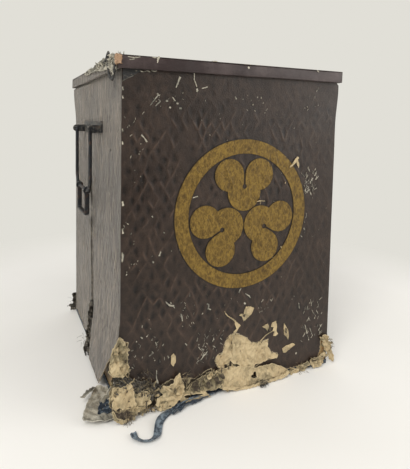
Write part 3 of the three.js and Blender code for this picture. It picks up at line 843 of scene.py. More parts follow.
# Torn papers and cloth, by their wall, finish and body. Each has how far it stands out at its
# top and at its bottom, its crumpling and thickness in mm, its stain, its outline across and up
# in mm, and any holes.
TORN_PAPERS = {
    ("front", "paper", "chest"): (
        # The dark sheets behind the cover are partly soaked paper and partly painted shade in the
        # gaps
        ("torn_dark_left", -1.4, -1.2, 0.3, 0.3, 0.85, ((-204, 122), (-190, 112), (-186, 60),
         (-170, 54), (-152, 36), (-140, 46), (-110, 50), (-60, 50), (-36, 60), (-36, 8), (-60, 3),
         (-110, 2), (-160, 2), (-204, 2))),
        ("torn_dark_middle", -1.4, -1.2, 0.2, 0.25, 0.9, ((-44, 56), (-38, 68), (-24, 92), (6, 98),
         (40, 78), (71, 78), (92, 46), (112, 12), (100, 3), (-40, 3))),
        ("torn_patch", -0.4, 1.2, 1.5, 0.5, 0.04, MAIN_PATCH, ((-29, 37), (-21, 46), (-13, 45),
         (-10, 52), (-5, 45), (3, 42), (10, 37), (3, 31), (-9, 34), (-17, 35)), ((33, 27), (42, 33),
         (52, 33), (62, 34), (75, 31), (68, 29.5), (50, 26), (38, 24))),
        ("torn_patch_strand", 0.9, 2.6, 0.7, 0.7, 0.1, ((-7, 97), (-2, 97), (-1, 78), (0, 56),
         (-5, 55), (-6, 78))),
        ("torn_flap", 2, 10.5, 1.3, 1.3, 0.08, ((-36, 39), (-29, 30), (-24, 25), (-27, 17),
         (-35, 12), (-13, 7), (4, 1), (26, 1), (55, 1.5), (85, 3), (97, 4.5), (108, 11), (96, 20),
         (75, 29), (56, 28), (38, 29), (22, 34.5), (-6, 40)), ((29, 15), (31, 19), (35, 18.5),
         (38, 23), (42, 21), (41, 16), (44, 13), (34, 12.5))),
        ("torn_flap_edge", 11.6, 13, 0.7, 1.6, -0.4, ((-27, 14), (-12, 10.5), (6, 5), (26, 5),
         (55, 5.5), (84, 7), (96, 9), (106, 14), (109, 10), (98, 4), (84, 2), (55, 0.8), (26, 0.8),
         (4, 1), (-13, 5.5), (-30, 10))),
        ("torn_flap_olive", 2.5, 7, 2.4, 1.2, 0.56, ((-103, 19), (-87, 29), (-68, 36), (-51, 41),
         (-37, 40), (-28, 29), (-25, 20), (-34, 12), (-59, 11.5), (-76, 12))),
        ("torn_flap_curl", 7.5, 10.5, 1.0, 1.4, 0.1, ((-107, 20), (-89, 19), (-70, 16), (-58, 9),
         (-52, 2), (-66, 3), (-89, 2.5), (-103, 5), (-109, 11)), ((-100, 13.5), (-85, 13),
         (-69, 10.5), (-63, 8), (-76, 6.5), (-96, 8))),
        ("torn_left_body", 5, 12, 2.4, 1.2, 0.08, ((-151, 14), (-146, 22), (-138, 25), (-139, 33),
         (-137, 39), (-128, 36), (-117, 40), (-113, 49), (-106, 53), (-103, 42), (-99, 30),
         (-103, 18), (-110, 12), (-116, 8), (-128, 1), (-138, 1), (-144, 3), (-147, 9))),
        ("torn_left_fold", 10, 11.5, 1.2, 1.0, 0.4, ((-141, 36), (-134, 35), (-120, 24), (-112, 14),
         (-116, 10), (-128, 20), (-140, 30))),
        ("torn_corner_plate", 7, 10.5, 1.8, 1.2, 0.06, ((-219, 24), (-221, 37), (-219, 54),
         (-214, 54), (-205, 52), (-195, 56), (-189, 55), (-187, 47), (-184, 45), (-184, 33),
         (-182, 22), (-185, 15), (-197, 14), (-209, 19))),
        ("torn_corner_tongue", 6, 9.5, 1.6, 1.2, 0.14, ((-184, 20), (-185, 32), (-180, 33),
         (-176, 37), (-170, 38), (-163, 37), (-157, 27), (-159, 23), (-164, 19), (-172, 17),
         (-180, 16))),
        ("torn_corner_lip", 11.5, 13, 1.2, 1.4, 0.0, ((-220, 26), (-205, 21), (-185, 17),
         (-169, 20), (-159, 24), (-157, 20), (-168, 13), (-182, 9), (-197, 10), (-212, 15),
         (-220, 21))),
        ("torn_corner", 2.5, 7, 2.4, 1.2, 0.6, ((-210, 47), (-203, 51), (-198, 58), (-190, 56),
         (-188, 48), (-185, 42), (-178, 36), (-172, 38), (-160, 38), (-157, 28), (-160, 17),
         (-166, 15), (-173, 8), (-182, 12), (-191, 15), (-201, 12), (-210, 15), (-221, 23),
         (-224, 35), (-219, 44))),
        ("torn_corner_wrap", 1.8, 5, 2.8, 1.2, 0.42, ((-210, 127), (-205, 129), (-199, 122),
         (-194, 109), (-194, 96), (-192, 83), (-195, 72), (-203, 66), (-212, 70), (-219, 72),
         (-225, 80), (-222, 95), (-219, 110), (-214, 120))),
        ("torn_corner_patch", 6, 8, 1.4, 1, 0, ((-222, 88), (-215, 94), (-208, 85), (-210, 76),
         (-216, 73), (-222, 78))),
        ("torn_strip_dark", -6, -2, 2.4, 0.9, 0.8, ((-217, 64), (-209, 62), (-206, 46), (-209, 33),
         (-219, 28), (-222, 40), (-218, 52))),
        ("torn_under_curl", 13, 17, 2.2, 0.8, 0.78, ((-221, 26), (-212, 19), (-193, 17), (-181, 14),
         (-186, 4), (-199, 3), (-212, 8), (-221, 17))),
        ("torn_pale_curl", 16.5, 18.5, 1.4, 0.9, 0.3, ((-222, 23), (-218, 23), (-214, 13),
         (-205, 8), (-196, 8), (-196, 4), (-208, 2), (-218, 9))),
        ("torn_bits_dark", 4, 8, 3.6, 0.9, 0.72, ((-64, 37), (-55, 46), (-45, 38), (-37, 41),
         (-25, 34), (-24, 12), (-42, 12), (-60, 24))),
        ("torn_bits_pale", 7, 9, 2.6, 0.9, 0.2, ((-58, 40), (-52, 46), (-47, 39), (-50, 33),
         (-57, 34))),
        ("torn_edge_a", 2.5, 6, 2.4, 1.1, 0.3, ((112, 5), (121, 7), (133, 8), (139, 12), (147, 9),
         (149, 2), (135, 1), (115, 1))),
        ("torn_edge_b", 2, 4, 1.6, 1, 0.35, ((140, 10), (147, 12), (159, 15), (163, 10), (152, 6),
         (143, 6))),
        ("torn_edge_c", 2, 6, 2.6, 1.1, 0.22, ((161, 12), (166, 17), (181, 17), (185, 21),
         (191, 18), (193, 7), (184, 2), (168, 2))),
        ("torn_edge_d", 2, 3.5, 1.4, 0.9, 0.2, ((186, 20), (198, 26), (201, 21), (195, 14),
         (187, 14))),
        ("torn_right_strip", 1.5, 5, 3, 1.2, 0.16, ((185, 56), (196, 60), (203, 57), (208, 47),
         (212, 32), (218, 14), (217, 5), (208, 9), (201, 24), (194, 37), (190, 49))),
    ),
    ("front", "grey_paper", "chest"): (
        ("torn_hanging_strip", -6, -16, 1.8, 0.9, 0.12, ((-213, 58), (-208, 54), (-213, 38),
         (-221, 23), (-227, 10), (-235, 14), (-232, 29), (-222, 44))),
    ),
    ("front", "cloth", "chest"): (
        ("torn_tangle_dark", 2, 5, 3.6, 0.9, 0, ((-216, 66), (-209, 71), (-200, 65), (-188, 60),
         (-173, 53), (-157, 47), (-143, 42), (-134, 33), (-134, 20), (-156, 20), (-190, 34),
         (-217, 45))),
        ("torn_tangle_green", 3.5, 4.5, 3.2, 0.9, 0, ((-203, 66), (-194, 66), (-184, 59),
         (-180, 50), (-190, 46), (-205, 52))),
        ("cloth_seam_left", -209, -203, 6, 1.1, 0, ((-204, 104), (-208, 112), (-213, 100),
         (-217, 82), (-216, 66), (-221, 48), (-220, 30), (-226, 14), (-223, 2), (-216, 6),
         (-212, 1), (-204, 12))),
        ("cloth_rear_corner", -419, -417, 3, 1, 0, ((-204, 42), (-211, 45), (-215, 41), (-211, 34),
         (-214, 26), (-211, 20), (-217, 16), (-227, 13), (-216, 9), (-219, 2), (-204, 2))),
    ),
    ("front", "indigo", "chest"): (
        # A dark indigo sheet tucked behind the front left corner
        ("cloth_under_corner", -14, -10, 2, 1, 0, ((-233, 25), (-224, 26), (-217, 22), (-215, 2),
         (-226, 4), (-238, 8), (-237, 16))),
    ),
    ("left", "cloth", "chest"): (
        ("cloth_seam_wall", 2, 8, 4, 1, 0, ((-14, 96), (-6, 99), (4, 92), (10, 70), (16, 45),
         (22, 18), (14, 1), (2, 4), (-6, 1), (-16, 8), (-14, 30), (-18, 52), (-12, 74))),
    ),
    ("front", "black_cloth", "chest"): (
        ("cloth_front_corner", 0.8, 0.8, 0.1, 0.4, 0, ((-204, 540), (-178, 541.5), (-176, 537),
         (-190, 529), (-204, 523))),
    ),
    ("left", "grey_paper", "lid"): (
        ("torn_lid_edge", 6.6, 8.0, 2.2, 0.8, 0.4, ((-50, 556), (-30, 560), (0, 559), (20, 556),
         (45, 560), (64, 563), (90, 562), (120, 566), (150, 563), (178, 567), (200, 561),
         (210, 552), (204, 543), (180, 540), (160, 546), (135, 544), (97, 547), (47, 551),
         (10, 552), (-20, 551))),
        ("torn_lid_corner", 8.4, 8.0, 2.4, 0.8, 0.4, ((160, 563), (178, 566), (196, 556),
         (207, 542), (200, 532), (186, 530), (176, 540), (166, 552))),
    ),
}
# Black cords of torn cloth at the lid's corner, across the left wall and up it, in mm
LID_CORDS = (
    ((150, 562), (156, 568), (163, 569), (166, 563), (161, 558), (158, 549), (162, 540), (170, 532),
     (180, 527), (188, 525)),
    ((188, 525), (196, 529), (202, 537), (205, 546)),
    ((137, 556), (145, 561), (152, 561), (160, 556)),
)

# Flakes down to the paper: the stain, and points across, up and wide in mm, or a whole outline
CHIPS = (
    (0.3, ((20, 142), (30, 141), (37, 137), (32, 127), (25, 122), (16, 116), (12, 125), (7, 128),
     (8, 131), (16, 129), (17, 136))),
    (0.12, ((-1, 120), (10, 110), (5, 104), (2, 100), (-2, 92), (-5, 94), (-3, 102), (2, 105),
     (-2, 115))), (0.35, ((55, 99), (61, 102), (67, 103), (70, 97), (66, 89), (63, 94))),
    (0.1, ((76, 103), (84, 105), (87, 95), (86, 86), (90, 80), (85, 77), (79, 78), (82, 86),
     (77, 87), (80, 94), (74, 96))),
    (0.36, ((102, 98), (107, 91), (112, 83), (114, 73), (113, 64), (110, 69), (103, 76),
     (102, 87))),
    (0.12, ((100, 50), (108, 54), (124, 56), (129, 52), (121, 48), (108, 41), (102, 42))),
    (0.1, ((-120, 82), (-116, 85), (-112, 80), (-112, 70), (-116, 63), (-120, 68))),
    (0.25, ((-23, 141, 1.2), (-20, 136, 2), (-16, 131, 1.6), (-6, 124, 3), (0, 118, 3.2))),
    (0.25, ((77, 87, 1.8), (70, 85, 2.4), (63, 82, 1.9), (54, 75, 3.1), (50, 70, 4.2))),
    (0.95, ((69, 95), (74, 95), (75, 89), (70, 88))),
    (0.95, ((105, 89), (109, 87), (110, 81), (109, 77), (105, 80))),
    (0.95, ((14, 128), (19, 129), (18, 124), (14, 125))),
)
FRONT_FLAKES = (
    (0.2, ((-111, 533, 4.2), (-114, 526, 3.1), (-118, 516, 1.6))),
    (0.3, ((-87, 543, 1.2), (-87, 530, 1.8), (-82, 519, 1.4))),
    (0.1, ((-82, 516, 3.1), (-81, 513, 4.5), (-82, 511, 2.6))),
    (0.3, ((-73, 517, 1.2), (-67, 518, 1.6), (-63, 520, 2.3))),
    (0.5, ((-147, 504, 2.4), (-154, 495, 1.6), (-161, 486, 1))),
    (0.5, ((-147, 497, 1.2), (-144, 494, 3), (-148, 490, 2.2), (-152, 486, 1.2))),
    (0.4, ((-135, 495, 3.1), (-131, 495, 3.5))), (0.3, ((-117, 492, 3.1), (-114, 491, 3.5))),
    (0.5, ((-129, 485, 3.1), (-126, 484, 3.5))), (0.55, ((-112, 484, 3.1), (-108, 484, 3.5))),
    (0.3, ((-124, 501, 2.1), (-119, 495, 1.8))),
    (0.2, ((-174, 442, 3.1), (-170, 438, 1.8), (-165, 431, 3.5))),
    (0.4, ((-12, 506, 1.8), (-9, 502, 2.8))), (0.3, ((-204, 513, 2.3), (-203, 508, 2.6))),
    (0.3, ((-204, 500, 2.3), (-203, 496, 2.6))), (0.3, ((-204, 451, 2.3), (-203, 447, 2.6))),
    (0.3, ((-204, 432, 2.3), (-203, 427, 2.6))), (0.2, ((-203, 341, 2.5), (-202, 334, 4))),
    (0.3, ((-203, 299, 2), (-202, 291, 3))),
    (0.3, ((-203, 262, 2), (-202, 255, 4), (-203, 247, 2))),
    (0.3, ((-57, 159, 2.8), (-53, 157, 2.8), (-54, 150, 3.1), (-49, 148, 2.4))),
    (0.1, ((16, 149, 3), (19, 147, 3))), (0.2, ((131, 33, 3), (133, 36, 3))),
    (0.2, ((-44, 84, 1.6), (-39, 80, 2))), (0.2, ((-66, 64, 1.4), (-60, 71, 2.4), (-54, 76, 1.6))),
    (0.4, ((-65, 83, 1.6), (-60, 80, 1.4))), (0.4, ((134, 131, 1.4), (136, 120, 2))),
    (0.4, ((155, 122, 1.4), (154, 115, 2))), (0.4, ((151, 85, 1.6), (156, 68, 2.4))),
    (0.4, ((162, 78, 2), (166, 69, 1.4))), (0.2, ((-86, 340, 1.4), (-77, 342, 2.2))),
    (0.3, ((9, 176, 1.2), (6, 172, 2.6), (5, 169, 1.4))),
    (0.3, ((18, 166, 1.6), (26, 160, 2.6), (29, 156, 1.4))),
    (0.4, ((-122, 172, 2), (-121, 169, 2))), (0.3, ((140, 272, 2.4), (142, 268, 2.8))),
    (0.4, ((-143, 250, 3), (-140, 257, 2))), (0.4, ((-156, 315, 2), (-154, 313, 2.4))),
    (0.3, ((-154, 243, 2), (-152, 240, 3))), (0.4, ((-136, 288, 2), (-134, 286, 2))),
    (0.25, ((-131, 174, 1.4), (-124, 167, 3.4), (-117, 165, 3.6), (-115, 161, 1.8))),
    (0.3, ((-104, 150, 1.2), (-102, 144, 3), (-101, 137, 1.6))),
    (0.4, ((-95, 98, 2), (-92, 94, 2.6))), (0.4, ((-172, 123, 2), (-169, 120, 2.6))),
    (0.4, ((-147, 110, 2), (-145, 104, 2.4))), (0.5, ((-158, 89, 2), (-151, 93, 3))),
    (0.4, ((-126, 83, 2), (-124, 79, 2.6))), (0.3, ((-145, 63, 1.4), (-145, 52, 2), (-143, 40, 5))),
    (0.45, ((-182, 540, 1), (-176, 538, 2), (-172, 537, 1.4), (-166, 539, 1.2), (-161, 538, 2))),
    (0.45, ((-159, 540, 1.6), (-153, 539, 2), (-150, 540, 1))),
    (0.75, ((-205, 521, 1.2), (-197, 526, 0.8), (-190, 529, 1.2), (-184, 534, 0.8))),
)
CREST_FLAKES = (
    (0.15, ((103, 385, 2), (110, 390, 4.5), (116, 397, 8), (121, 403, 4))),
    (0.15, ((119, 397, 5), (121, 390, 6), (123, 384, 2))),
    (0.3, ((36, 327, 1.2), (44, 328, 2.4), (52, 327, 1.6))),
    (0.3, ((44, 328, 1.6), (43, 322, 1.2))), (0.3, ((89, 243, 2), (90, 240, 2))),
    (0.3, ((95, 359, 1.6), (94, 356, 2))),
)
LID_FLAKES = (
    (0.2, ((-198, 557, 1.2), (-188, 556, 2.2), (-179, 558, 1.2))),
    (0.2, ((-160, 559, 1.2), (-151, 558, 1.6))),
    (0.15, ((-149, 561, 4), (-151, 556, 3), (-152, 551, 1.4))),
    (0.4, ((-196, 553, 1.2), (-188, 554, 1.6))), (0.15, ((8, 556, 3), (10, 553, 4))),
    (0.3, ((152, 559, 2.4), (156, 556, 1.6))), (0.3, ((-60, 560.4, 1.2), (-50, 560.4, 1.4))),
)
# Where small scratches and specks lie on the front: across and up, how far they spread each way,
# how many there are and how long they are, in mm
SCRATCHES = (
    (150, 355, 14, 24, 44, 13), (168, 92, 24, 38, 44, 10), (-50, 84, 26, 28, 44, 8),
    (60, 138, 18, 12, 14, 4), (148, 506, 16, 20, 10, 5), (24, 493, 30, 14, 12, 4),
    (-85, 150, 20, 26, 14, 7), (-160, 105, 30, 34, 26, 6), (137, 278, 8, 26, 8, 6),
    (-186, 430, 14, 44, 14, 5), (-190, 270, 12, 70, 16, 4), (0, 290, 195, 220, 60, 2),
    (-130, 498, 26, 14, 12, 4),
)

# The camera's turn, dip and roll in degrees, its place, its lens in mm and its shift
CAMERA_ANGLES = (23.45, 3.79, 0.9)
CAMERA_PLACE = (-0.3729, -0.8344, 0.4593)
CAMERA_LENS = 32.91
CAMERA_SHIFT = (0.0426, -0.175)
LAMP_COLOUR = (1.0, 0.99, 0.975)
# How bright the room in front of the chest is in its gloss, beside the backdrop
DIM_ROOM = 0.16


class CHEST_OT_stage(bpy.types.Operator):
    """Set up the camera, the pale floor and backdrop, and soft studio light"""

    bl_idname = "chest.stage"
    bl_label = "Camera, floor and light"

    def execute(self, context):
        colours = context.scene.chest_colours
        context.scene.view_settings.view_transform = "Standard"
        make_finishes(colours)
        self.add_camera(context)
        self.add_floor(context, colours)
        self.add_world(context, colours)
        self.add_lamp("Key", (-1.8, -1.8, 2.3), 1.6, 54)
        self.add_lamp("Fill", (1.9, -1.6, 0.95), 2.0, 22)
        return {"FINISHED"}

    def add_camera(self, context):
        """A camera at the photograph's viewing angle."""
        turn, dip, roll = (math.radians(angle) for angle in CAMERA_ANGLES)
        forward = Vector(
            (math.sin(turn) * math.cos(dip), math.cos(turn) * math.cos(dip), -math.sin(dip))
        )
        right = Vector((math.cos(turn), -math.sin(turn), 0))
        up = right.cross(forward)
        across = right * math.cos(roll) + up * math.sin(roll)
        upright = up * math.cos(roll) - right * math.sin(roll)
        lens = bpy.data.cameras.new("Camera")
        lens.lens = CAMERA_LENS
        lens.shift_x, lens.shift_y = CAMERA_SHIFT
        lens.clip_start = 0.01
        camera = bpy.data.objects.new("Camera", lens)
        context.scene.collection.objects.link(camera)
        turned = Matrix((across, upright, -forward)).transposed().to_4x4()
        camera.matrix_world = Matrix.Translation(CAMERA_PLACE) @ turned
        context.scene.camera = camera

    def add_floor(self, context, colours):
        """A wide pale floor that fades into the backdrop."""
        shape = bmesh.new()
        bmesh.ops.create_grid(shape, x_segments=8, y_segments=8, size=14)
        mesh = bpy.data.meshes.new("Floor")
        shape.to_mesh(mesh)
        shape.free()
        floor = bpy.data.objects.new("Floor", mesh)
        context.scene.collection.objects.link(floor)
        look = Finish("pale_floor", 0.75)
        look.give("Specular IOR Level", 0.2)
        mottle = look.remap(look.cloudy(3, 2), 0.3, 0.7, 0, 0.2)
        look.give("Base Color", look.blend(mottle, colours.floor, colours.backdrop))
        place = {"Vector": look.where}
        length = look.add_node("ShaderNodeVectorMath", place, operation="LENGTH")
        distance = length.outputs["Value"]
        seen, camera = look.seen_rays()
        far = look.times(look.remap(distance, 0.66, 0.98), seen)
        axes = look.add_node("ShaderNodeSeparateXYZ", place).outputs
        behind = look.remap(axes["Y"], -0.9, -0.5)
        lit = look.most(behind, look.remap(axes["X"], 0.35, 1.3))
        level = look.most(look.remap(lit, 0, 1, DIM_ROOM, 1), camera)
        inputs = {"Color": (*colours.backdrop, 1), "Strength": level}
        glow = look.add_node("ShaderNodeEmission", inputs)
        look.blend_shaders(far, look.shader, glow, "Material Output")
        mesh.materials.append(look.material)

    def add_world(self, context, colours):
        """An even pale backdrop, a plainer light for the object, and a dimmer room in front."""
        world = bpy.data.worlds.new("Studio")
        world.use_nodes = True
        look = Nodes(world.node_tree)
        light = world.node_tree.nodes["Background"]
        light.inputs["Color"].default_value = (1.0, 0.99, 0.97, 1)
        light.inputs["Strength"].default_value = 0.7
        direct, camera = look.seen_rays()
        towards = look.add_node("ShaderNodeTexCoord").outputs["Generated"]
        axes = look.add_node("ShaderNodeSeparateXYZ", {"Vector": towards}).outputs
        behind = look.remap(axes["Y"], -0.45, 0.05)
        beside = look.remap(axes["X"], 0.2, 0.85)
        above = look.remap(axes["Z"], 0.35, 0.8)
        lit = look.most(look.most(behind, beside), above)
        level = look.most(look.remap(lit, 0, 1, DIM_ROOM, 1), camera)
        inputs = {"Color": (*colours.backdrop, 1), "Strength": level}
        seen = look.add_node("ShaderNodeBackground", inputs)
        look.blend_shaders(direct, light, seen, "World Output")
        context.scene.world = world

    def add_lamp(self, name, place, size, power):
        """A large soft lamp that faces the middle of the chest."""
        lamp = bpy.data.lights.new(name, "AREA")
        lamp.shape = "DISK"
        lamp.size = size
        lamp.energy = power
        lamp.color = LAMP_COLOUR
        holder = bpy.data.objects.new(name, lamp)
        bpy.context.scene.collection.objects.link(holder)
        towards = Vector((0, 0, 0.25)) - Vector(place)
        turn = towards.to_track_quat("-Z", "Y").to_matrix().to_4x4()
        holder.matrix_world = Matrix.Translation(place) @ turn


class CHEST_OT_loose_binding(bpy.types.Operator):
    """Lay the loose end of the front binding on the floor"""

    bl_idname = "chest.loose_binding"
    bl_label = "Loose end of the binding"

    # The same route as the CAD strip, in mm along from its torn end, out and up
    route = (
        (0, 5.3, 1.3), (15, 6.2, 1.3), (29, 8, 1.3), (43, 11.2, 1.3), (56, 16, 1.3),
        (68, 22.5, 1.3), (78, 30.5, 1.3), (86, 40.5, 1.3), (91.5, 52, 1.3), (97, 63, 1.3),
        (105, 70, 1.3), (114, 72, 1.3), (122.5, 69, 1.3), (128.5, 62.5, 1.6), (131.5, 54.5, 2.3),
        (132, 46, 3.7),
    )

    def execute(self, context):
        start = Vector((-65 * MM, -HALF_DEPTH, 0))
        stops = [start + Vector((-along, -out, up)) * MM for along, out, up in self.route]
        line = self.smooth_line(stops, 4)
        width, thickness = 0.0125, 0.0022
        shape = bmesh.new()
        ring, edges = start_ring(shape, 14)
        section = [vert.co.copy() for vert in ring]
        for step, place in enumerate(line):
            share = step / (len(line) - 1)
            ahead = line[min(step + 1, len(line) - 1)] - line[max(step - 1, 0)]
            heading = Vector((ahead.x, ahead.y, 0)).normalized()
            sideways = Vector((-heading.y, heading.x, 0))
            tilt = math.radians(32) * math.sin(share * 9.5 + 0.4) + math.radians(8)
            narrow = 1 - 0.22 * smooth_step(share, 0.45, 1)
            across = sideways * math.cos(tilt) + Vector((0, 0, 1)) * math.sin(tilt)
            proud = Vector((0, 0, 1)) * math.cos(tilt) - sideways * math.sin(tilt)
            half = width * narrow / 2
            lift = math.hypot(half * math.sin(tilt), thickness / 2 * math.cos(tilt)) + 0.0009
            centre = Vector((place.x, place.y, max(lift, place.z)))
            drift = -0.0035 * math.sin(math.pi * smooth_step(share, 0.2, 0.95))
            if step:
                ring, edges = draw_ring(shape, edges)
            for vert, spot in zip(ring, section):
                fold = 0.0009 * math.cos(spot.x * 9 + share * 4) * narrow
                offset = across * (spot.x * width * narrow) + sideways * drift
                offset += proud * (spot.y * thickness * (1 - 0.3 * abs(spot.x)) + fold)
                vert.co = centre + offset
        close_end(shape, edges)
        piece = place_piece(
            "loose_binding", shape, "chest", "ribbon", ["binding_loose_end"]
        )
        return {"FINISHED"}

    def smooth_line(self, stops, steps):
        """Points along a smooth line through the stops."""
        line = []
        for index in range(len(stops) - 1):
            before = stops[max(index - 1, 0)]
            a, b = stops[index], stops[index + 1]
            after = stops[min(index + 2, len(stops) - 1)]
            for step in range(steps):
                t = step / steps
                point = 0.5 * (
                    2 * a
                    + (b - before) * t
                    + (2 * before - 5 * a + 4 * b - after) * t * t
                    + (3 * a - before - 3 * b + after) * t**3
                )
                line.append(point)
        line.append(stops[-1].copy())
        return line


class CHEST_OT_timber(bpy.types.Operator):
    """Round the edges of the posts, rails, boards and battens, and give them grain"""

    bl_idname = "chest.timber"
    bl_label = "Timber frame"

    def execute(self, context):
        nodes = {"base_board": ("x", "chest"), "lid_board": ("x", "lid")}
        for end in ("front", "back"):
            nodes[f"lid_batten_{end}"] = ("x", "lid")
            nodes[f"top_rail_{end}"] = ("x", "chest")
            nodes[f"bottom_rail_{end}"] = ("x", "chest")
            for side in SIDES:
                nodes[f"post_{end}_{side}"] = ("z", "chest")
        for side in SIDES:
            nodes[f"top_rail_{side}"] = ("y", "chest")
            nodes[f"bottom_rail_{side}"] = ("y", "chest")
        for node, (along, body) in nodes.items():
            shape = softened(node, 0.0009)
            dress(node, "planed", shape, body, f"timber_{along}")
        return {"FINISHED"}


class CHEST_OT_walls(bpy.types.Operator):
    """Plait the bamboo panels and paper the inside of the walls"""

    bl_idname = "chest.walls"
    bl_label = "Woven panels and linings"

    def execute(self, context):
        for wall in WALLS:
            self.plait(wall, context.scene.chest_sizes)
            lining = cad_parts[f"paper_lining_{wall}"]
            lining.data.materials.clear()
            lining.data.materials.append(FINISHES["lining"])
        return {"FINISHED"}

    def plait(self, wall, sizes):
        """One woven panel, its strips crossing over and under at a slant."""
        low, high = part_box(f"woven_panel_{wall}")
        middle = (low + high) / 2
        upright = wall in SIDES
        width = high.y - low.y if upright else high.x - low.x
        depth = high.x - low.x if upright else high.y - low.y
        half, top = width / 2, high.z - low.z
        outline = [(-half, 0), (half, 0), (half, top), (-half, top)]
        sheet = cut_sheet(outline, (), 0.003)
        wide, tall = sizes.plait_width / 2, sizes.plait_height / 2
        heights = []
        for vert in sheet.verts:
            over, rise = vert.co.x / wide, vert.co.y / tall
            rows = (over + rise, over - rise)
            above = (math.floor(rows[0]) + math.floor(rows[1])) % 2
            parts = [abs((row % 1) - 0.5) * 2 for row in rows]
            across, along = parts if above else parts[::-1]
            height = (1 - 0.4 * across**2) * (1 - 0.7 * along**3)
            heights.append(height)
            vert.co.z = -0.0009 * (1 - height)
        paint(sheet, relief=heights)
        close_back(sheet, -depth)
        across, _ = WALLS[wall]
        out = Vector(across).cross(Vector((0, 0, 1)))
        origin = middle + out * (depth / 2)
        origin.z = low.z
        bmesh.ops.transform(
            sheet,
            matrix=Matrix.Translation(origin)
            @ Matrix.Translation(WALLS[wall][1]).inverted()
            @ wall_place(wall),
            verts=sheet.verts,
        )
        dress(f"woven_panel_{wall}", "plaited", sheet, "chest", "bamboo")


# How far a cover is paler beside its torn edge, how far the covers swell under the lid, and how
# much stronger the plaiting shows on the sides than on the front
TORN_REACH = 0.0034
SWELLING = 0.0046
SIDE_STRENGTH = 1.5


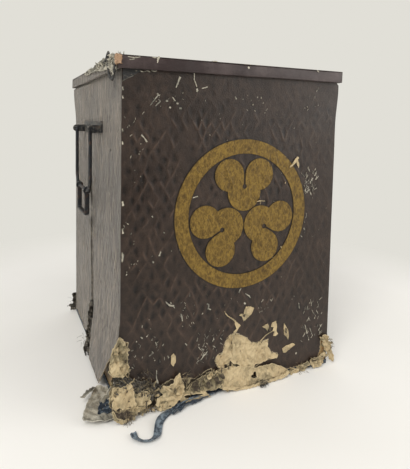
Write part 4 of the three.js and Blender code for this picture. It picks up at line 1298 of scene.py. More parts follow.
class CHEST_OT_covers(bpy.types.Operator):
    """Cover the walls with lacquer that shows the plaiting, torn along its lower edge"""

    bl_idname = "chest.covers"
    bl_label = "Lacquered covers"

    def execute(self, context):
        sizes = context.scene.chest_sizes
        self.front(sizes)
        side = HALF_DEPTH * 1000 - 1.8
        half = HALF_WIDTH * 1000
        self.flat("cover_back", "back", -half, half, 31, sizes)
        self.flat("cover_left_back", "left", -side, -0.15, 32, sizes)
        self.flat("cover_right_front", "right", -side, -0.15, 33, sizes)
        self.flat("cover_right_back", "right", 0.15, side, 34, sizes)
        self.left_front(sizes)
        return {"FINISHED"}

    def finish_flat(self, name, wall, sheet, torn, seed, sizes):
        """Raise the plaiting on a flat cover, paint its torn edges and close its back."""
        edges = near_edge(sheet, torn, TORN_REACH)
        strength = SIDE_STRENGTH if wall in SIDES else 1
        reliefs = []
        for vert, edge in zip(sheet.verts, edges):
            out, relief = wall_surface(vert.co.x, vert.co.y, wall, seed, sizes, strength)
            lifted = 0.0012 * edge * (0.5 + noise.noise(Vector((vert.co.x, vert.co.y, 0)) * 60))
            bulge = SWELLING * smooth_step(vert.co.y, 0.46, LID_FOOT - 0.01)
            bulge *= 1 - smooth_step(vert.co.y, LID_FOOT - 0.005, LID_FOOT - 0.0005)
            if wall in SIDES:
                lifted += bulge * smooth_step(abs(vert.co.x), 0, 0.1)
            elif wall == "back" or vert.co.x > 0:
                sideways = math.copysign(bulge, vert.co.x)
                vert.co.x += sideways * smooth_step(abs(vert.co.x), 0.1, 0.205)
            vert.co.z = max(out + lifted, -0.0007)
            # Painted shade round the left wall's handle
            reliefs.append(relief - (left_wall_shade(vert.co.y) if wall == "left" else 0))
        paint(sheet, relief=reliefs, torn=edges)
        # The front gets a painted shadow along the crest's edges
        if wall == "front":
            paint(sheet, shade=near_edge(sheet, crest_lines(), 0.0026))
        close_back(sheet, -0.0014)
        hang_on_wall(sheet, wall)
        # Side covers: paler partly from dust, partly as painted reflection
        finish = "dust" if wall in SIDES else "lacquer"
        dress(name, "lacquered", sheet, "chest", finish)

    def front(self, sizes):
        """The front cover, torn along its lower edge and with a hole above it."""
        bottom = COVER_BOTTOM * 1000
        left = [
            (-205, 122), (-193, 118), (-194, 90), (-191, 57), (-182, 46), (-171, 46), (-156, 37),
            (-152, 23), (-144, 27), (-135, 35), (-121, 41), (-102, 38), (-76, 33), (-58, 41),
            (-46, 44), (-41, 26), (-30, bottom), (116, bottom), (150, bottom), (184, 12),
            (189, 30), (189, 48), (205, 56),
        ]
        torn = ragged(left, 3.2, 1.1, 7)
        half = HALF_WIDTH
        outline = [(-half, RIM), *torn, (half, RIM)]
        hole = ragged_loop(MAIN_PATCH, 3, 0.9, 8)
        sheet = cut_sheet(outline, [hole], sizes.cover_grid * 0.85)
        self.finish_flat("cover_front", "front", sheet, [torn, [*hole, hole[0]]], 1, sizes)

    def flat(self, name, wall, left, right, seed, sizes):
        """A plain cover with a worn lower edge."""
        bottom = COVER_BOTTOM * 1000
        chance = random.Random(seed)
        line = [(left, bottom)]
        while line[-1][0] < right - 30:
            step = chance.uniform(9, 22)
            line.append((line[-1][0] + step, bottom + chance.uniform(0, 5) ** 1.2))
        line.append((right, bottom))
        torn = ragged(line, 3.5, 0.8, seed)
        outline = [(left * MM, RIM), *torn, (right * MM, RIM)]
        sheet = cut_sheet(outline, (), sizes.cover_grid)
        self.finish_flat(name, wall, sheet, [torn], seed, sizes)

    def left_front(self, sizes):
        """The front half of the left cover, which flares out where the corner has split."""
        height = RIM - COVER_BOTTOM
        width = HALF_DEPTH
        sheet = bmesh.new()
        columns, rows = round(width / sizes.cover_grid), round(height / sizes.cover_grid)
        bmesh.ops.create_grid(sheet, x_segments=columns, y_segments=rows, size=0.5)
        reliefs, edges = [], []
        for vert in sheet.verts:
            u, v = vert.co.y + 0.5, vert.co.x + 0.5
            z = COVER_BOTTOM + height * u
            worn = smooth_step(0.13, 0, 0.13 - z + 0.01)
            rag = 0.0016 * noise.noise(Vector((0, 0, z * 160))) * worn
            tear = max(0, (0.122 - z) / (0.122 - COVER_BOTTOM))
            near = -HALF_DEPTH + 0.0018 + 0.082 * tear
            if tear:
                near += 0.003 * noise.noise(Vector((7, 0, z * 130)))
            seam = -0.003 * max(0, 1 - z / 0.3) - 0.00015
            y = near + (seam - near) * v + rag * (1 - v)
            low = max(0, 1 - u * 60)
            z += low * 0.0012 * (1 + noise.noise(Vector((y * 120, 3, 0))))
            flare = smooth_step(-y, 0.0005, 0.04) * smooth_step(1 - z / 0.17, 0, 1)
            out, relief = wall_surface(-y, z, "left", 32, sizes, SIDE_STRENGTH)
            vert.co = (-HALF_WIDTH - 0.016 * flare - max(out, -0.0007), y, z)
            gap = (y - near) if tear else 1
            edges.append(max(0, 1 - min(gap, (z - COVER_BOTTOM)) / TORN_REACH))
            # Painted shade round the left wall's handle
            reliefs.append(relief - left_wall_shade(z))
        paint(sheet, relief=reliefs, torn=edges)
        thicken(sheet, 0.0013)
        # Side covers: paler partly from dust, partly as painted reflection
        dress("cover_left_front", "lacquered", sheet, "chest", "dust")


def tear(wall, finish, body, spacing, paper):
    """Tear one paper or scrap of cloth, crumple it and curl its edges forward."""
    name, top, bottom, crumple, thick, stain, outline, *holes = paper
    seed = sum(ord(letter) for letter in name)
    loop = ragged_loop(outline, 2.2, 1.1, seed)
    cuts = [ragged_loop(hole, 2, 0.5, seed + 1) for hole in holes]
    sheet = cut_sheet(loop, cuts, spacing)
    edges = near_edge(sheet, [[*line, line[0]] for line in (loop, *cuts)], 0.0024)
    heights = [place[1] for place in outline]
    low, high = min(heights) * MM, max(heights) * MM
    stains, folds = [], []
    for vert, edge in zip(sheet.verts, edges):
        share = (vert.co.y - low) / (high - low)
        spot = Vector((vert.co.x, vert.co.y, seed * 0.0037))
        fold = crumpled(spot, 0.012)
        lean = bottom + (top - bottom) * smooth_step(share, 0, 1)
        curl = edge**2 * (0.8 + noise.noise(spot * 60))
        vert.co.z = (lean + crumple * (1.5 * fold + 0.7 * curl)) * MM
        stains.append(stain + 0.34 * noise.noise(spot * 48))
        # fold: the crumple's height, shown as painted shade and highlight
        folds.append(0.5 + 0.6 * fold)
    paint(sheet, stain=stains, fold=folds, torn=edges)
    thicken(sheet, thick * MM)
    hang_on_wall(sheet, wall)
    keep_off_floor(sheet)
    place_piece(name, sheet, body, finish)


def shred(shape, place, turn, size, stain, chance):
    """Add a small torn scrap, bent and crumpled, to a shape that has the painted layers."""
    layers = [shape.verts.layers.float[name] for name in ("stain", "fold", "torn")]
    made = bmesh.ops.create_grid(shape, x_segments=4, y_segments=3, size=0.5)["verts"]
    bend, twist, taper = chance.uniform(-1.2, 1.2), chance.uniform(-0.8, 0.8), chance.random()
    for vert in made:
        x, y = vert.co.x, vert.co.y
        ragged_push = 1 + chance.uniform(-0.3, 0.3)
        y *= (1 - 0.8 * taper * (x + 0.5)) * ragged_push
        x *= 1 + chance.uniform(-0.18, 0.18)
        lift = bend * x * x + twist * x * y + chance.uniform(-0.1, 0.1)
        vert.co = place + turn @ Vector((x * size[0], y * size[1], lift * size[0] * 0.6))
        tone = chance.uniform(-0.12, 0.12)
        # A random fold for painted shade and highlight on each scrap
        fold = chance.uniform(0.2, 0.85)
        values = (stain + tone, fold, chance.uniform(0, 0.9) * vert.is_boundary)
        for layer, value in zip(layers, values):
            vert[layer] = value


# Where small torn scraps lie: across and up the wall and out from it in mm, how far they spread
# each way, how many there are, how long they are and the least and most stain
FRONT_SHREDS = (
    (-200, 46, 4, 18, 16, 5, 46, 9, 0.2, 0.95), (-168, 38, 4, 22, 11, 4, 44, 9, 0.3, 1),
    (-190, 14, 12, 26, 8, 5, 34, 9, 0.1, 0.95), (-203, 92, 4, 9, 26, 2, 26, 9, 0.3, 0.8),
    (-128, 26, 9, 24, 14, 4, 26, 9, 0, 0.7), (-75, 26, 6, 26, 12, 3, 34, 9, 0.3, 1),
    (-40, 28, 6, 14, 14, 3, 28, 7, 0.4, 1), (-150, 5, 9, 26, 4, 4, 26, 7, 0.1, 0.9),
    (40, 5, 10, 70, 3, 3, 34, 6, 0.1, 0.8), (130, 6, 4, 26, 4, 2, 26, 7, 0, 0.7),
    (180, 12, 4, 16, 7, 3, 30, 7, 0, 0.8), (203, 34, 3, 8, 18, 3, 26, 7, 0, 0.6),
    (-12, 40, 2, 16, 8, 1.5, 16, 7, 0, 0.7), (-12, 84, 1, 8, 14, 1, 8, 6, 0, 0.5),
)
LEFT_SHREDS = (
    (182, 552, 8.5, 22, 8, 2, 50, 6, 0.1, 0.75), (110, 557, 8, 46, 5, 1.5, 80, 6, 0.1, 0.75),
    (20, 556, 7.5, 50, 4, 1.2, 50, 5, 0.2, 0.8), (182, 562, -2, 20, 1.5, 5, 26, 6, 0.1, 0.7),
)


class CHEST_OT_torn_papers(bpy.types.Operator):
    """Tear the paper layers and the cloth along the chest's lower edge and corners"""

    bl_idname = "chest.torn_papers"
    bl_label = "Torn papers and cloth"

    def execute(self, context):
        spacing = context.scene.chest_sizes.paper_grid
        for (wall, finish, body), papers in TORN_PAPERS.items():
            for paper in papers:
                tear(wall, finish, body, spacing, paper)
        self.scatter("torn_shreds_front", "front", FRONT_SHREDS, "chest", 21, "paper")
        self.scatter("torn_shreds_lid", "left", LEFT_SHREDS, "lid", 22, "grey_paper")
        return {"FINISHED"}

    def scatter(self, name, wall, places, body, seed, finish):
        """Strew small torn scraps round the given places on a wall."""
        chance = random.Random(seed)
        shape = bmesh.new()
        for layer in ("stain", "fold", "torn"):
            shape.verts.layers.float.new(layer)
        for x, y, out, wide, tall, deep, count, length, clean, dirty in places:
            for _ in range(count):
                aside, above, ahead = (chance.uniform(-far, far) for far in (wide, tall, deep))
                middle = Vector((x + aside, max(y + above, 1.5), out + ahead))
                tilt = Matrix.Rotation(chance.gauss(0, 0.6), 3, "X")
                tilt = Matrix.Rotation(chance.gauss(0, 0.6), 3, "Y") @ tilt
                turn = tilt @ Matrix.Rotation(chance.uniform(0, math.pi), 3, "Z")
                long = length * chance.uniform(0.5, 1.5) * MM
                size = (long, long * chance.uniform(0.15, 0.55))
                stain = chance.uniform(clean, dirty)
                shred(shape, middle * MM, turn, size, stain, chance)
        thicken(shape, 0.0005)
        hang_on_wall(shape, wall)
        keep_off_floor(shape)
        place_piece(name, shape, body, finish)


class CHEST_OT_floor_flap(bpy.types.Operator):
    """Lay the peeled flap of covering on the floor beside the corner"""

    bl_idname = "chest.floor_flap"
    bl_label = "Peeled flap on the floor"

    # Outline on the floor in mm, as the CAD flap has it
    outline = (
        (-206, -131), (-214, -126), (-225, -122), (-236, -142), (-250, -170), (-262, -200),
        (-261, -210), (-246, -216), (-221, -216), (-206, -213),
    )
    shard = ((-226, -132), (-233, -130), (-246, -141), (-258, -155), (-252, -156), (-238, -146))
    # The binding's torn root, which lies along the front wall
    root = (
        (-20, -209), (-45, -217), (-70, -223), (-98, -228), (-122, -238), (-134, -236),
        (-130, -224), (-112, -212), (-80, -208), (-45, -207.5),
    )

    def execute(self, context):
        spacing = context.scene.chest_sizes.paper_grid
        flap = self.lay(self.outline, spacing, 3, 0.0026, 0.009, 0.3, 0.0013)
        place_piece(
            "torn_flap_floor", flap, "chest", "grey_paper", ["torn_corner_flap"]
        )
        shard = self.lay(self.shard, spacing, 9, 0.004, 0.004, 0.62, 0.0011)
        bmesh.ops.translate(shard, vec=(0, 0, 0.006), verts=shard.verts)
        place_piece("torn_shard_floor", shard, "chest", "grey_paper")
        root = self.lay(self.root, spacing, 5, 0.004, 0.006, 0, 0.0012)
        place_piece("binding_root", root, "chest", "indigo")
        return {"FINISHED"}

    def lay(self, outline, spacing, seed, crumple, curl, stain, thick):
        """A crumpled sheet on the floor whose far edge curls up."""
        loop = ragged_loop(outline, 3, 1.1, seed)
        sheet = cut_sheet(loop, (), spacing)
        edges = near_edge(sheet, [[*loop, loop[0]]], 0.006)
        stains, folds = [], []
        for vert, edge in zip(sheet.verts, edges):
            spot = Vector((vert.co.x, vert.co.y, seed))
            fold = crumpled(spot, 0.02)
            # fold: the crumple's height, shown as painted shade and highlight
            folds.append(0.5 + 0.6 * fold)
            away = smooth_step(-vert.co.x, 0.205, 0.262)
            vert.co.z = thick + 0.0002 + curl * (0.75 * away**2 + 0.25 * edge**2)
            vert.co.z += crumple * max(fold + 0.4, 0)
            stains.append(stain + 0.3 * noise.noise(spot * 35))
        paint(sheet, stain=stains, fold=folds, torn=edges)
        thicken(sheet, thick)
        return sheet


class CHEST_OT_flakes(bpy.types.Operator):
    """Flake the lacquer on the walls and the lid, down to the paper"""

    bl_idname = "chest.flakes"
    bl_label = "Flakes in the lacquer"

    def execute(self, context):
        sizes = context.scene.chest_sizes
        self.scatter("flakes_front", "front", CHIPS, (), 1, "chest", 0.0002, sizes, "paper")
        self.scatter("flakes_small", "front", FRONT_FLAKES, SCRATCHES, 7, "chest", 0.0002, sizes)
        self.scatter("flakes_crest", "front", CREST_FLAKES, (), 2, "chest", 0.0014, sizes, "paper")
        self.scatter("flakes_lid", "front", LID_FLAKES, (), 3, "lid", 0.0071, sizes)
        around = ((0, 280, 195, 240, 60, 5), (0, 60, 195, 45, 40, 6))
        for seed, wall in enumerate(("left", "right", "back")):
            self.scatter(f"flakes_{wall}", wall, (), around, 4 + seed, "chest", 0.0002, sizes)
        return {"FINISHED"}

    def scatter(self, name, wall, flakes, scratches, seed, body, out, sizes, finish="grey_paper"):
        """The given flakes, and fine scratches round the given places."""
        chance = random.Random(seed)
        flakes = list(flakes)
        for x, y, wide, tall, count, length in scratches:
            for _ in range(count):
                start = (x + chance.uniform(-wide, wide), y + chance.uniform(-tall, tall))
                angle = chance.choice((0.9, 1.1, 2.1, 2.3, 1.5)) + chance.uniform(-0.3, 0.3)
                long = length * (0.3 + 0.7 * chance.random() ** 1.5)
                end = (start[0] + math.cos(angle) * long, start[1] + math.sin(angle) * long)
                width = chance.uniform(0.6, 1.2)
                stain = chance.uniform(0, 0.6)
                flakes.append((stain, ((*start, width), (*end, width * chance.uniform(0.4, 1)))))
        shape = bmesh.new()
        layers = [shape.verts.layers.float.new(layer) for layer in ("stain", "fold", "torn")]
        for stain, points in flakes:
            outline = points if len(points[0]) == 2 else self.widened(points)
            outline = ragged_loop(outline, 1.8, 0.4, round(1000 * points[0][0] + points[0][1]))
            middle = Vector([sum(axis) / len(outline) for axis in zip(*outline)])
            level, _ = wall_surface(middle.x, middle.y, wall, 1, sizes)
            level = max(level, 0) + out + (0.0004 if stain > 0.9 else 0)
            rim = [shape.verts.new((x, y, level)) for x, y in outline]
            face = shape.faces.new(rim)
            raised = bmesh.ops.extrude_face_region(shape, geom=[face])["geom"]
            rim += [part for part in raised if isinstance(part, bmesh.types.BMVert)]
            for vert in rim[len(outline) :]:
                vert.co.z += chance.uniform(0.0003, 0.0008)
            for vert in rim:
                # fold sets the flakes' painted shade and highlight
                values = (stain + chance.uniform(-0.15, 0.15), chance.uniform(0.3, 0.8), 0.5)
                for layer, value in zip(layers, values):
                    vert[layer] = value
        bmesh.ops.recalc_face_normals(shape, faces=shape.faces)
        hang_on_wall(shape, wall)
        place_piece(name, shape, body, finish, smooth=False)

    def widened(self, points):
        """The outline in mm of a line that is as wide as given at each of its points."""
        sides = ([], [])
        for index, (x, y, width) in enumerate(points):
            before, after = points[max(index - 1, 0)], points[min(index + 1, len(points) - 1)]
            run = Vector((after[0] - before[0], after[1] - before[1])).normalized()
            for side, sign in zip(sides, (0.4, -0.4)):
                side.append((x - run.y * width * sign, y + run.x * width * sign))
        return [*sides[0], *sides[1][::-1]]


class CHEST_OT_side_seams(bpy.types.Operator):
    """Bind the seams down the middle of the side walls with narrow folded cloth"""

    bl_idname = "chest.side_seams"
    bl_label = "Side seams"

    def execute(self, context):
        self.seam("seam_binding_left", -1)
        self.seam("seam_binding_right", 1)
        return {"FINISHED"}

    def seam(self, name, side):
        """A narrow folded cloth over the lower part of a seam."""
        top, bottom = 0.352, 0.02
        x = side * (HALF_WIDTH + 0.0011)
        shape = block((0.0026, 0.0065, top - bottom), (x, 0, (top + bottom) / 2))
        upright = edges_along(shape, "z", 0.1)
        bmesh.ops.subdivide_edges(shape, edges=upright, cuts=70, use_grid_fill=True)
        corners = [
            edge
            for edge in shape.edges
            if abs(edge.verts[0].co.y - edge.verts[1].co.y) < 1e-6
            and abs(edge.verts[0].co.x - edge.verts[1].co.x) < 1e-6
            and edge.verts[0].co.x * side > HALF_WIDTH + 0.001
        ]
        round_edges(shape, corners, 0.001)
        for vert in shape.verts:
            vert.co.x -= side * 0.0025 * hill(vert.co.z, 0.289, 0.018)
            vert.co.y += 0.004 + 0.045 * vert.co.z
            vert.co.y += 0.0011 * noise.noise(Vector((0, side, vert.co.z * 30)))
            vert.co.x += side * 0.0004 * noise.noise(Vector((5, side, vert.co.z * 90)))
        place_piece(name, shape, "chest", "cloth")


class CHEST_OT_fibres(bpy.types.Operator):
    """Fray loose threads and paper fibres along the torn edges"""

    bl_idname = "chest.fibres"
    bl_label = "Loose fibres"

    def execute(self, context):
        left = -HALF_WIDTH
        front = -HALF_DEPTH
        cloth = (
            ((left - 0.014, 0.0, 0.03), 0.02, 18, 0.012, (-0.3, -0.6, -0.5)),
            ((left - 0.006, 0.209, 0.022), 0.014, 10, 0.010, (-0.8, -0.2, 0.2)),
            ((0.048, front - 0.013, 0.003), 0.009, 60, 0.012, (0, -0.8, -0.1)),
            ((0.056, front - 0.012, 0.003), 0.008, 40, 0.010, (0.2, -0.8, -0.1)),
            ((-0.198, front - 0.009, 0.008), 0.014, 30, 0.013, (-0.3, -0.8, 0.1)),
            ((-0.172, front - 0.005, 0.05), 0.022, 50, 0.011, (0, -0.7, 0.4)),
            ((-0.203, front - 0.004, 0.06), 0.014, 30, 0.010, (-0.2, -0.7, 0.3)),
            ((0.208, front - 0.002, 0.04), 0.014, 14, 0.008, (0.7, -0.5, 0.2)),
        )
        paper = (
            ((-0.203, front - 0.002, 0.1), 0.02, 20, 0.008, (-0.3, -0.9, 0.2)),
            ((-0.196, front - 0.014, 0.008), 0.014, 44, 0.010, (-0.1, -0.9, 0)),
            ((-0.165, front - 0.006, 0.05), 0.02, 40, 0.011, (0.2, -0.7, 0.5)),
            ((-0.1, front - 0.007, 0.042), 0.012, 24, 0.012, (0.6, -0.6, 0.5)),
            ((0.2, front - 0.003, 0.03), 0.02, 26, 0.008, (0.5, -0.7, 0)),
            ((0.14, front - 0.006, 0.008), 0.02, 30, 0.007, (0, -0.9, 0)),
        )
        self.fray("fibres_cloth", cloth, "cloth", "indigo_binding", 5)
        self.fray("fibres_paper", paper, "paper", "torn_paper", 6)
        return {"FINISHED"}

    def fray(self, name, tufts, finish, slot, seed):
        """Thin tapering fibres round several places."""
        chance = random.Random(seed)
        shape = bmesh.new()
        layer = shape.verts.layers.float.new("stain")
        for place, spread, count, length, lean in tufts:
            for _ in range(count):
                jitter = [chance.uniform(-spread, spread) for _ in range(3)]
                root = Vector(place) + Vector((jitter[0] * 0.5, jitter[1] * 0.5, jitter[2] * 0.6))
                root.z = max(root.z, 0.001)
                heading = Vector(lean) + Vector([chance.uniform(-0.7, 0.7) for _ in range(3)])
                reach = length * chance.uniform(0.4, 1.1)
                self.fibre(shape, layer, root, heading.normalized(), reach, chance)
        bmesh.ops.recalc_face_normals(shape, faces=shape.faces)
        place_piece(name, shape, "chest", finish)

    def fibre(self, shape, layer, root, heading, length, chance):
        """One fibre: a thin three-sided strand that droops towards its tip."""
        turn = heading.to_track_quat("Z", "Y").to_matrix().to_4x4()
        size = chance.uniform(0.00025, 0.0006)
        _, edges = start_ring(shape, 3, size, True, Matrix.Translation(root) @ turn)
        droop = Vector((chance.uniform(-0.3, 0.3), chance.uniform(-0.3, 0.3), -0.35))
        middle = root.copy()
        for _ in range(4):
            heading = (heading + droop * 0.4).normalized()
            step = heading * (length / 4)
            if middle.z + step.z < 0.0008:
                step.z = 0
            middle += step
            ring, edges = draw_ring(shape, edges)
            bmesh.ops.translate(shape, vec=step, verts=ring)
            for vert in ring:
                vert.co = middle + (vert.co - middle) * 0.78
                vert[layer] = 0.3
        bmesh.ops.holes_fill(shape, edges=edges, sides=0)


class CHEST_OT_base_bindings(bpy.types.Operator):
    """Fit the indigo bindings round the bottom edge"""

    bl_idname = "chest.base_bindings"
    bl_label = "Bottom bindings"

    def execute(self, context):
        for seed, wall in enumerate(WALLS):
            node = f"base_binding_{wall}"
            low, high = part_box(node)
            shape = block(high - low, (low + high) / 2)
            long = edges_along(shape, "y" if wall in SIDES else "x", 0.05)
            bmesh.ops.subdivide_edges(shape, edges=long, cuts=120, use_grid_fill=True)
            rims = [edge for edge in shape.edges if edge.calc_face_angle(0) > 1]
            round_edges(shape, rims, 0.0005)
            for vert in shape.verts:
                spot = vert.co * 90 + Vector((0, 0, seed))
                push = noise.noise_vector(spot) * 0.0005
                top = smooth_step(vert.co.z, 0.003, 0.008)
                vert.co += Vector((push.x, push.y, push.z * 1.6 * top))
                vert.co.z = max(vert.co.z, 0)
            dress(node, "cloth", shape, "chest", "indigo")
        return {"FINISHED"}


# The crest's middle on the front wall, its ring's two radii, and each sandbar's heads (radius and
# place), foot (radius and place) and drop (radius and place), in mm
CREST_MIDDLE = (11, 306.5)
CREST_RING = (129, 104)
CREST_HEADS = (28, 29.5, 68)
CREST_FOOT = (32.5, 38)
CREST_DROP = (3.8, 48)
CREST_SLIT = 1.05


def crest_circle(radius):
    """A circle round the crest's middle, in metres."""
    x, y = CREST_MIDDLE
    angles = [2 * math.pi * step / 200 for step in range(200)]
    return [((x + radius * math.cos(a)) * MM, (y + radius * math.sin(a)) * MM) for a in angles]


def crest_turned(points, angle):
    """Points in mm, turned clockwise about the crest's middle, in metres."""
    cos, sin = math.cos(angle), math.sin(angle)
    cx, cy = CREST_MIDDLE
    return [((cx + x * cos + y * sin) * MM, (cy - x * sin + y * cos) * MM) for x, y in points]


def crest_figure(turn):
    """One sandbar's outline, slit down its middle to a round hole, turned about the crest."""
    radius, spread, reach = CREST_HEADS
    foot, below = CREST_FOOT
    drop, height = CREST_DROP
    circles = ((-spread, reach, radius), (spread, reach, radius), (0, below, foot))
    right = []
    for step in range(301):
        angle = math.pi * step / 300
        direction = (math.sin(angle), math.cos(angle))
        far = 0
        for cx, cy, size in circles:
            along = cx * direction[0] + (cy - height) * direction[1]
            inner = size**2 - (cx**2 + (cy - height) ** 2 - along**2)
            if inner >= 0:
                far = max(far, along + math.sqrt(inner))
        right.append((max(direction[0] * far, CREST_SLIT), height + direction[1] * far))
    side = [(x, y) for x, y in right if x > CREST_SLIT + 0.05 or y < height]
    line = [(CREST_SLIT, height + drop), *side]
    mirrored = [(-x, y) for x, y in line[::-1]]
    turns = [2 * math.pi * step / 24 for step in range(24)]
    hole = [(drop * math.cos(a), height + drop * math.sin(a)) for a in turns]
    return crest_turned([*line, *mirrored], turn), crest_turned(hole, turn)


def crest_lines():
    """The outlines of the whole crest, as closed lines."""
    loops = [crest_circle(radius) for radius in CREST_RING]
    for index in range(3):
        loops.extend(crest_figure(index * 2 * math.pi / 3))
    return [[*loop, loop[0]] for loop in loops]


class CHEST_OT_crest(bpy.types.Operator):
    """Lay the gold crest over the plaiting"""

    bl_idname = "chest.crest"
    bl_label = "Crest"

    def execute(self, context):
        sizes = context.scene.chest_sizes
        outer, inner = (crest_circle(radius) for radius in CREST_RING)
        self.lay("crest_ring", outer, inner, sizes)
        for index in range(3):
            outline, hole = crest_figure(index * 2 * math.pi / 3)
            self.lay(f"crest_figure_{index + 1}", outline, hole, sizes)
        return {"FINISHED"}

    def lay(self, name, outline, hole, sizes):
        """Lay a part of the crest on the cover's relief."""
        sheet = cut_sheet(outline, [hole], sizes.crest_grid)
        loops = [[*outline, outline[0]], [*hole, hole[0]]]
        # The rims, under the name torn, get painted shade in the gold finish
        paint(sheet, torn=near_edge(sheet, loops, 0.0018))
        reliefs = []
        for vert in sheet.verts:
            out, relief = wall_surface(vert.co.x, vert.co.y, "front", 1, sizes)
            vert.co.z = 0.0009 + out * 0.8
            reliefs.append(relief)
        paint(sheet, relief=reliefs)
        close_back(sheet, 0.0001)
        hang_on_wall(sheet, "front")
        dress(name, "gold", sheet, "chest", "gold")


class CHEST_OT_handles(bpy.types.Operator):
    """Forge the handles: plates, lugs, nails, bails and drop loops"""

    bl_idname = "chest.handles"
    bl_label = "Handles"

    def execute(self, context):
        sizes = context.scene.chest_sizes
        for side, turn in (("left", 0), ("right", math.pi)):
            turned = Matrix.Rotation(turn, 4, "Z")
            self.fittings(side)
            bail = self.bail(sizes)
            bmesh.ops.transform(bail, matrix=turned, verts=bail.verts)
            dress(f"bail_{side}", "forged", bail, f"{side}_bail", "iron")
            loop = self.drop_loop(sizes)
            bmesh.ops.transform(loop, matrix=turned, verts=loop.verts)
            body = f"{side}_drop_loop"
            piece = dress(f"drop_loop_{side}", "forged", loop, body, "iron")
            forge = piece.modifiers.new("Forge", "REMESH")
            forge.mode = "VOXEL"
            forge.voxel_size = 0.0007
            forge.use_smooth_shade = True
        return {"FINISHED"}

    def fittings(self, side):
        """The plate, lugs and nails of one side, with their edges hammered."""
        nodes = {f"handle_plate_{side}": 0.0008}
        for end in ("front", "back"):
            nodes[f"handle_lug_{side}_{end}"] = 0.0006
            nodes[f"handle_nail_{side}_{end}"] = 0.0003
        for seed, (node, width) in enumerate(nodes.items()):
            shape = softened(node, width)
            if "plate" in node:
                long = [edge for edge in shape.edges if edge.calc_length() > 0.02]
                bmesh.ops.subdivide_edges(shape, edges=long, cuts=24)
                roughen(shape, 0.0005, 120, seed)
            dress(node, "forged", shape, "chest", "dusty_iron")

    def bail(self, sizes):
        """The U of round bar whose ends turn out into the lugs."""
        low, high = BAIL_BOX
        x = (low.x + high.x) / 2
        reach = high.y
        radius = sizes.bar / 2
        pivot = high.z - radius
        drop = pivot - (low.z + radius)
        leg, top, bottom = 0.069, 0.005, 0.027
        bar = Bar(sizes.bar, sizes.bar, x, -reach, pivot, (0, 1, 0))
        bar.run(reach - leg - top, 3)
        bar.bend(top, -90)
        bar.run(drop - top - bottom, 24)
        bar.bend(bottom, 90, 14)
        bar.run(2 * (leg - bottom), 24)
        bar.bend(bottom, 90, 14)
        bar.run(drop - top - bottom, 24)
        bar.bend(top, -90)
        bar.run(reach - leg - top, 3)
        shape = bar.close()
        roughen(shape, 0.0003, 110, 4)
        return shape

    def drop_loop(self, sizes):
        """The small loop of flat strap that hangs from the bail by an eye at each end."""
        low, high = BAIL_BOX
        x = (low.x + high.x) / 2
        height = low.z + sizes.bar / 2
        leg, drop, corner = 0.039, 0.046, 0.006
        inner = sizes.bar / 2 + 0.0005
        wall = 0.0034
        width, thickness = sizes.loop_width, 0.0038
        bar = Bar(width, thickness, x, -leg, height - inner - wall / 2, (0, 0, -1))
        straight = drop - inner - wall / 2 - corner
        bar.run(straight, 10)
        bar.bend(corner, 90, 6)
        bar.run(2 * (leg - corner), 18)
        bar.bend(corner, 90, 6)
        bar.run(straight, 10)
        shape = bar.close()
        for place in (-leg, leg):
            ring, edges = start_ring(shape, 16, cap=False)
            for vert in ring:
                out, along = (
                    math.copysign(0.5 * abs(2 * value) ** 0.5, value) for value in vert.co[:2]
                )
                vert.co = (x + inner + wall * (0.5 + out), place + along * 0.0044, height)
            bmesh.ops.spin(
                shape,
                geom=edges,
                cent=(x, place, height),
                axis=(0, 1, 0),
                angle=2 * math.pi,
                steps=32,
                use_merge=True,
                use_duplicate=False,
            )
        bmesh.ops.recalc_face_normals(shape, faces=shape.faces)
        roughen(shape, 0.00025, 120, 8)
        return shape


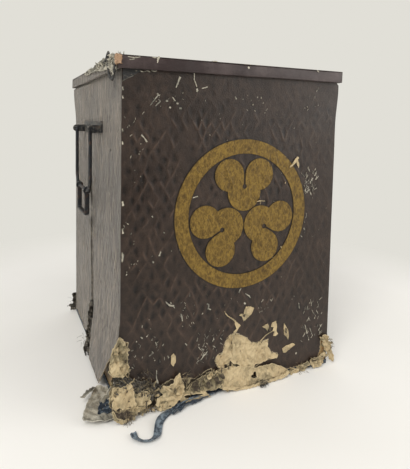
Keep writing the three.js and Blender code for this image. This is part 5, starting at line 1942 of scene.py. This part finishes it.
class CHEST_OT_lid(bpy.types.Operator):
    """Cover the lid with lacquer, worn and torn along its left edge"""

    bl_idname = "chest.lid"
    bl_label = "Lid"

    def execute(self, context):
        self.top()
        for seed, wall in enumerate(WALLS):
            self.band(wall, seed)
        self.torn_edge()
        return {"FINISHED"}

    def paint_worn(self, shape, seed):
        """Paint the lacquer's relief, and a worn line along the lid's top edges."""
        reliefs, torn = [], []
        for vert in shape.verts:
            spot = Vector((vert.co.x, vert.co.y, vert.co.z))
            reliefs.append(0.35 + 0.5 * noise.noise(spot * 26 + Vector((seed, 0, 0))))
            worn = smooth_step(vert.co.z, LID_TOP - 0.002, LID_TOP - 0.0004)
            torn.append(worn * (0.3 + 0.75 * noise.noise(spot * 34)))
        paint(shape, relief=reliefs, torn=torn)

    def top(self):
        """The cover over the lid's top, slightly uneven, with a rounded edge."""
        low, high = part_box("lid_cover")
        half = (high - low) / 2
        outline = [(-half.x, -half.y), (half.x, -half.y), (half.x, half.y), (-half.x, half.y)]
        sheet = cut_sheet(outline, (), 0.006)
        for vert in sheet.verts:
            inner = min(half.x - abs(vert.co.x), half.y - abs(vert.co.y))
            wave = noise.noise(vert.co * 9) * 0.0011 + noise.noise(vert.co * 60) * 0.0002
            rise = smooth_step(inner, 0, 0.02)
            vert.co.z = 0.0004 + wave * rise - 0.0005 * (1 - smooth_step(inner, -0.001, 0.004))
        close_back(sheet, -0.0009)
        bmesh.ops.translate(sheet, vec=(0, 0, high.z), verts=sheet.verts)
        self.paint_worn(sheet, 1)
        layer = sheet.verts.layers.float["torn"]
        for vert in sheet.verts:
            inner = min(half.x - abs(vert.co.x), half.y - abs(vert.co.y))
            vert[layer] *= 1 - smooth_step(inner, 0.002, 0.008)
        dress("lid_cover", "lacquered", sheet, "lid", "lid")

    def band(self, wall, seed):
        """One side of the lid, with rounded edges and slight waves along it."""
        node = f"lid_band_{wall}"
        low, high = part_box(node)
        shape = block(high - low, (low + high) / 2)
        along = "y" if wall in SIDES else "x"
        round_edges(shape, edges_along(shape, along, 0.1), 0.0014, 3)
        long = edges_along(shape, along, 0.1)
        bmesh.ops.subdivide_edges(shape, edges=long, cuts=110, use_grid_fill=True)
        for vert in shape.verts:
            wave = noise.noise_vector(vert.co * 14 + Vector((seed, 0, 0)))
            dent = noise.noise_vector(vert.co * 75 + Vector((0, seed, 0)))
            vert.co += wave * 0.0007 + dent * 0.0003
        self.paint_worn(shape, seed + 3)
        # Side bands: paler partly from dust, partly as painted reflection
        finish = "dust" if wall in SIDES else "lid"
        dress(node, "lacquered", shape, "lid", finish)

    def torn_edge(self):
        """Black cords of torn cloth at the lid's front left corner, and bare wood beside them."""
        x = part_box("lid_cover")[0].x
        shape = bmesh.new()
        for cord in LID_CORDS:
            self.cord(shape, [Vector((x - 0.0028, -across * MM, up * MM)) for across, up in cord])
        roughen(shape, 0.0006, 300, 5)
        place_piece("cloth_lid_cords", shape, "lid", "black_cloth")
        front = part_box("lid_cover")[0].y
        corner = bmesh.new()
        bmesh.ops.create_cube(corner, size=1)
        bmesh.ops.subdivide_edges(corner, edges=corner.edges[:], cuts=7, use_grid_fill=True)
        bmesh.ops.scale(corner, vec=(0.0085, 0.008, 0.0145), verts=corner.verts)
        place = (x + 0.0006, front + 0.0031, LID_TOP - 0.0068)
        bmesh.ops.translate(corner, vec=place, verts=corner.verts)
        roughen(corner, 0.002, 200, 3)
        roughen(corner, 0.0008, 600, 4)
        place_piece("lid_corner_wood", corner, "lid", "bare_wood")

    def cord(self, shape, stops):
        """A thin twist of torn cloth through the stops, added to a shape."""
        start = stops[0]
        ring, edges = start_ring(shape, 7, 1)
        section = [vert.co.copy() for vert in ring]
        count = 6 * (len(stops) - 1)
        for step in range(count + 1):
            index = min(step // 6, len(stops) - 2)
            share = smooth_step(step / 6 - index, 0, 1)
            place = stops[index].lerp(stops[index + 1], share)
            heading = (stops[index + 1] - stops[index]).normalized()
            side = heading.cross(Vector((1, 0, 0)))
            if step:
                ring, edges = draw_ring(shape, edges)
            radius = 0.0019 * (1 + 0.5 * noise.noise(start * 90 + Vector((step * 0.4, 0, 0))))
            for vert, spot in zip(ring, section):
                proud = Vector((spot.y * radius, 0, 0))
                vert.co = place + side * (spot.x * radius * 1.3) + proud
        close_end(shape, edges)


class CHEST_PT_parts(bpy.types.Panel):
    """Lists the chest's parts, in the order in which they are made"""

    bl_idname = "CHEST_PT_parts"
    bl_label = "Armour storage chest"
    bl_space_type = "VIEW_3D"
    bl_region_type = "UI"
    bl_category = "Chest"

    def draw(self, context):
        layout = self.layout
        for group in (context.scene.chest_sizes, context.scene.chest_colours):
            for name in group.__annotations__:
                layout.prop(group, name)
        for part in PARTS:
            layout.operator(part.bl_idname)


PARTS = (
    CHEST_OT_stage,
    CHEST_OT_loose_binding,
    CHEST_OT_timber,
    CHEST_OT_walls,
    CHEST_OT_covers,
    CHEST_OT_torn_papers,
    CHEST_OT_floor_flap,
    CHEST_OT_flakes,
    CHEST_OT_side_seams,
    CHEST_OT_fibres,
    CHEST_OT_base_bindings,
    CHEST_OT_crest,
    CHEST_OT_handles,
    CHEST_OT_lid,
)
CLASSES = (ChestSizes, ChestColours, *PARTS, CHEST_PT_parts)


def register():
    """Add the chest's settings, parts and panel to Blender."""
    for part in CLASSES:
        bpy.utils.register_class(part)
    bpy.types.Scene.chest_sizes = PointerProperty(type=ChestSizes)
    bpy.types.Scene.chest_colours = PointerProperty(type=ChestColours)


def unregister():
    """Take the chest's settings, parts and panel out of Blender."""
    del bpy.types.Scene.chest_colours
    del bpy.types.Scene.chest_sizes
    for part in reversed(CLASSES):
        bpy.utils.unregister_class(part)


def main():
    """Make every part in order."""
    # Blender's vector noise starts from the clock unless it is given a seed
    noise.seed_set(NOISE_SEED)
    register()
    for part in PARTS:
        group, name = part.bl_idname.split(".")
        getattr(getattr(bpy.ops, group), name)()


if __name__ == "__main__":
    main()
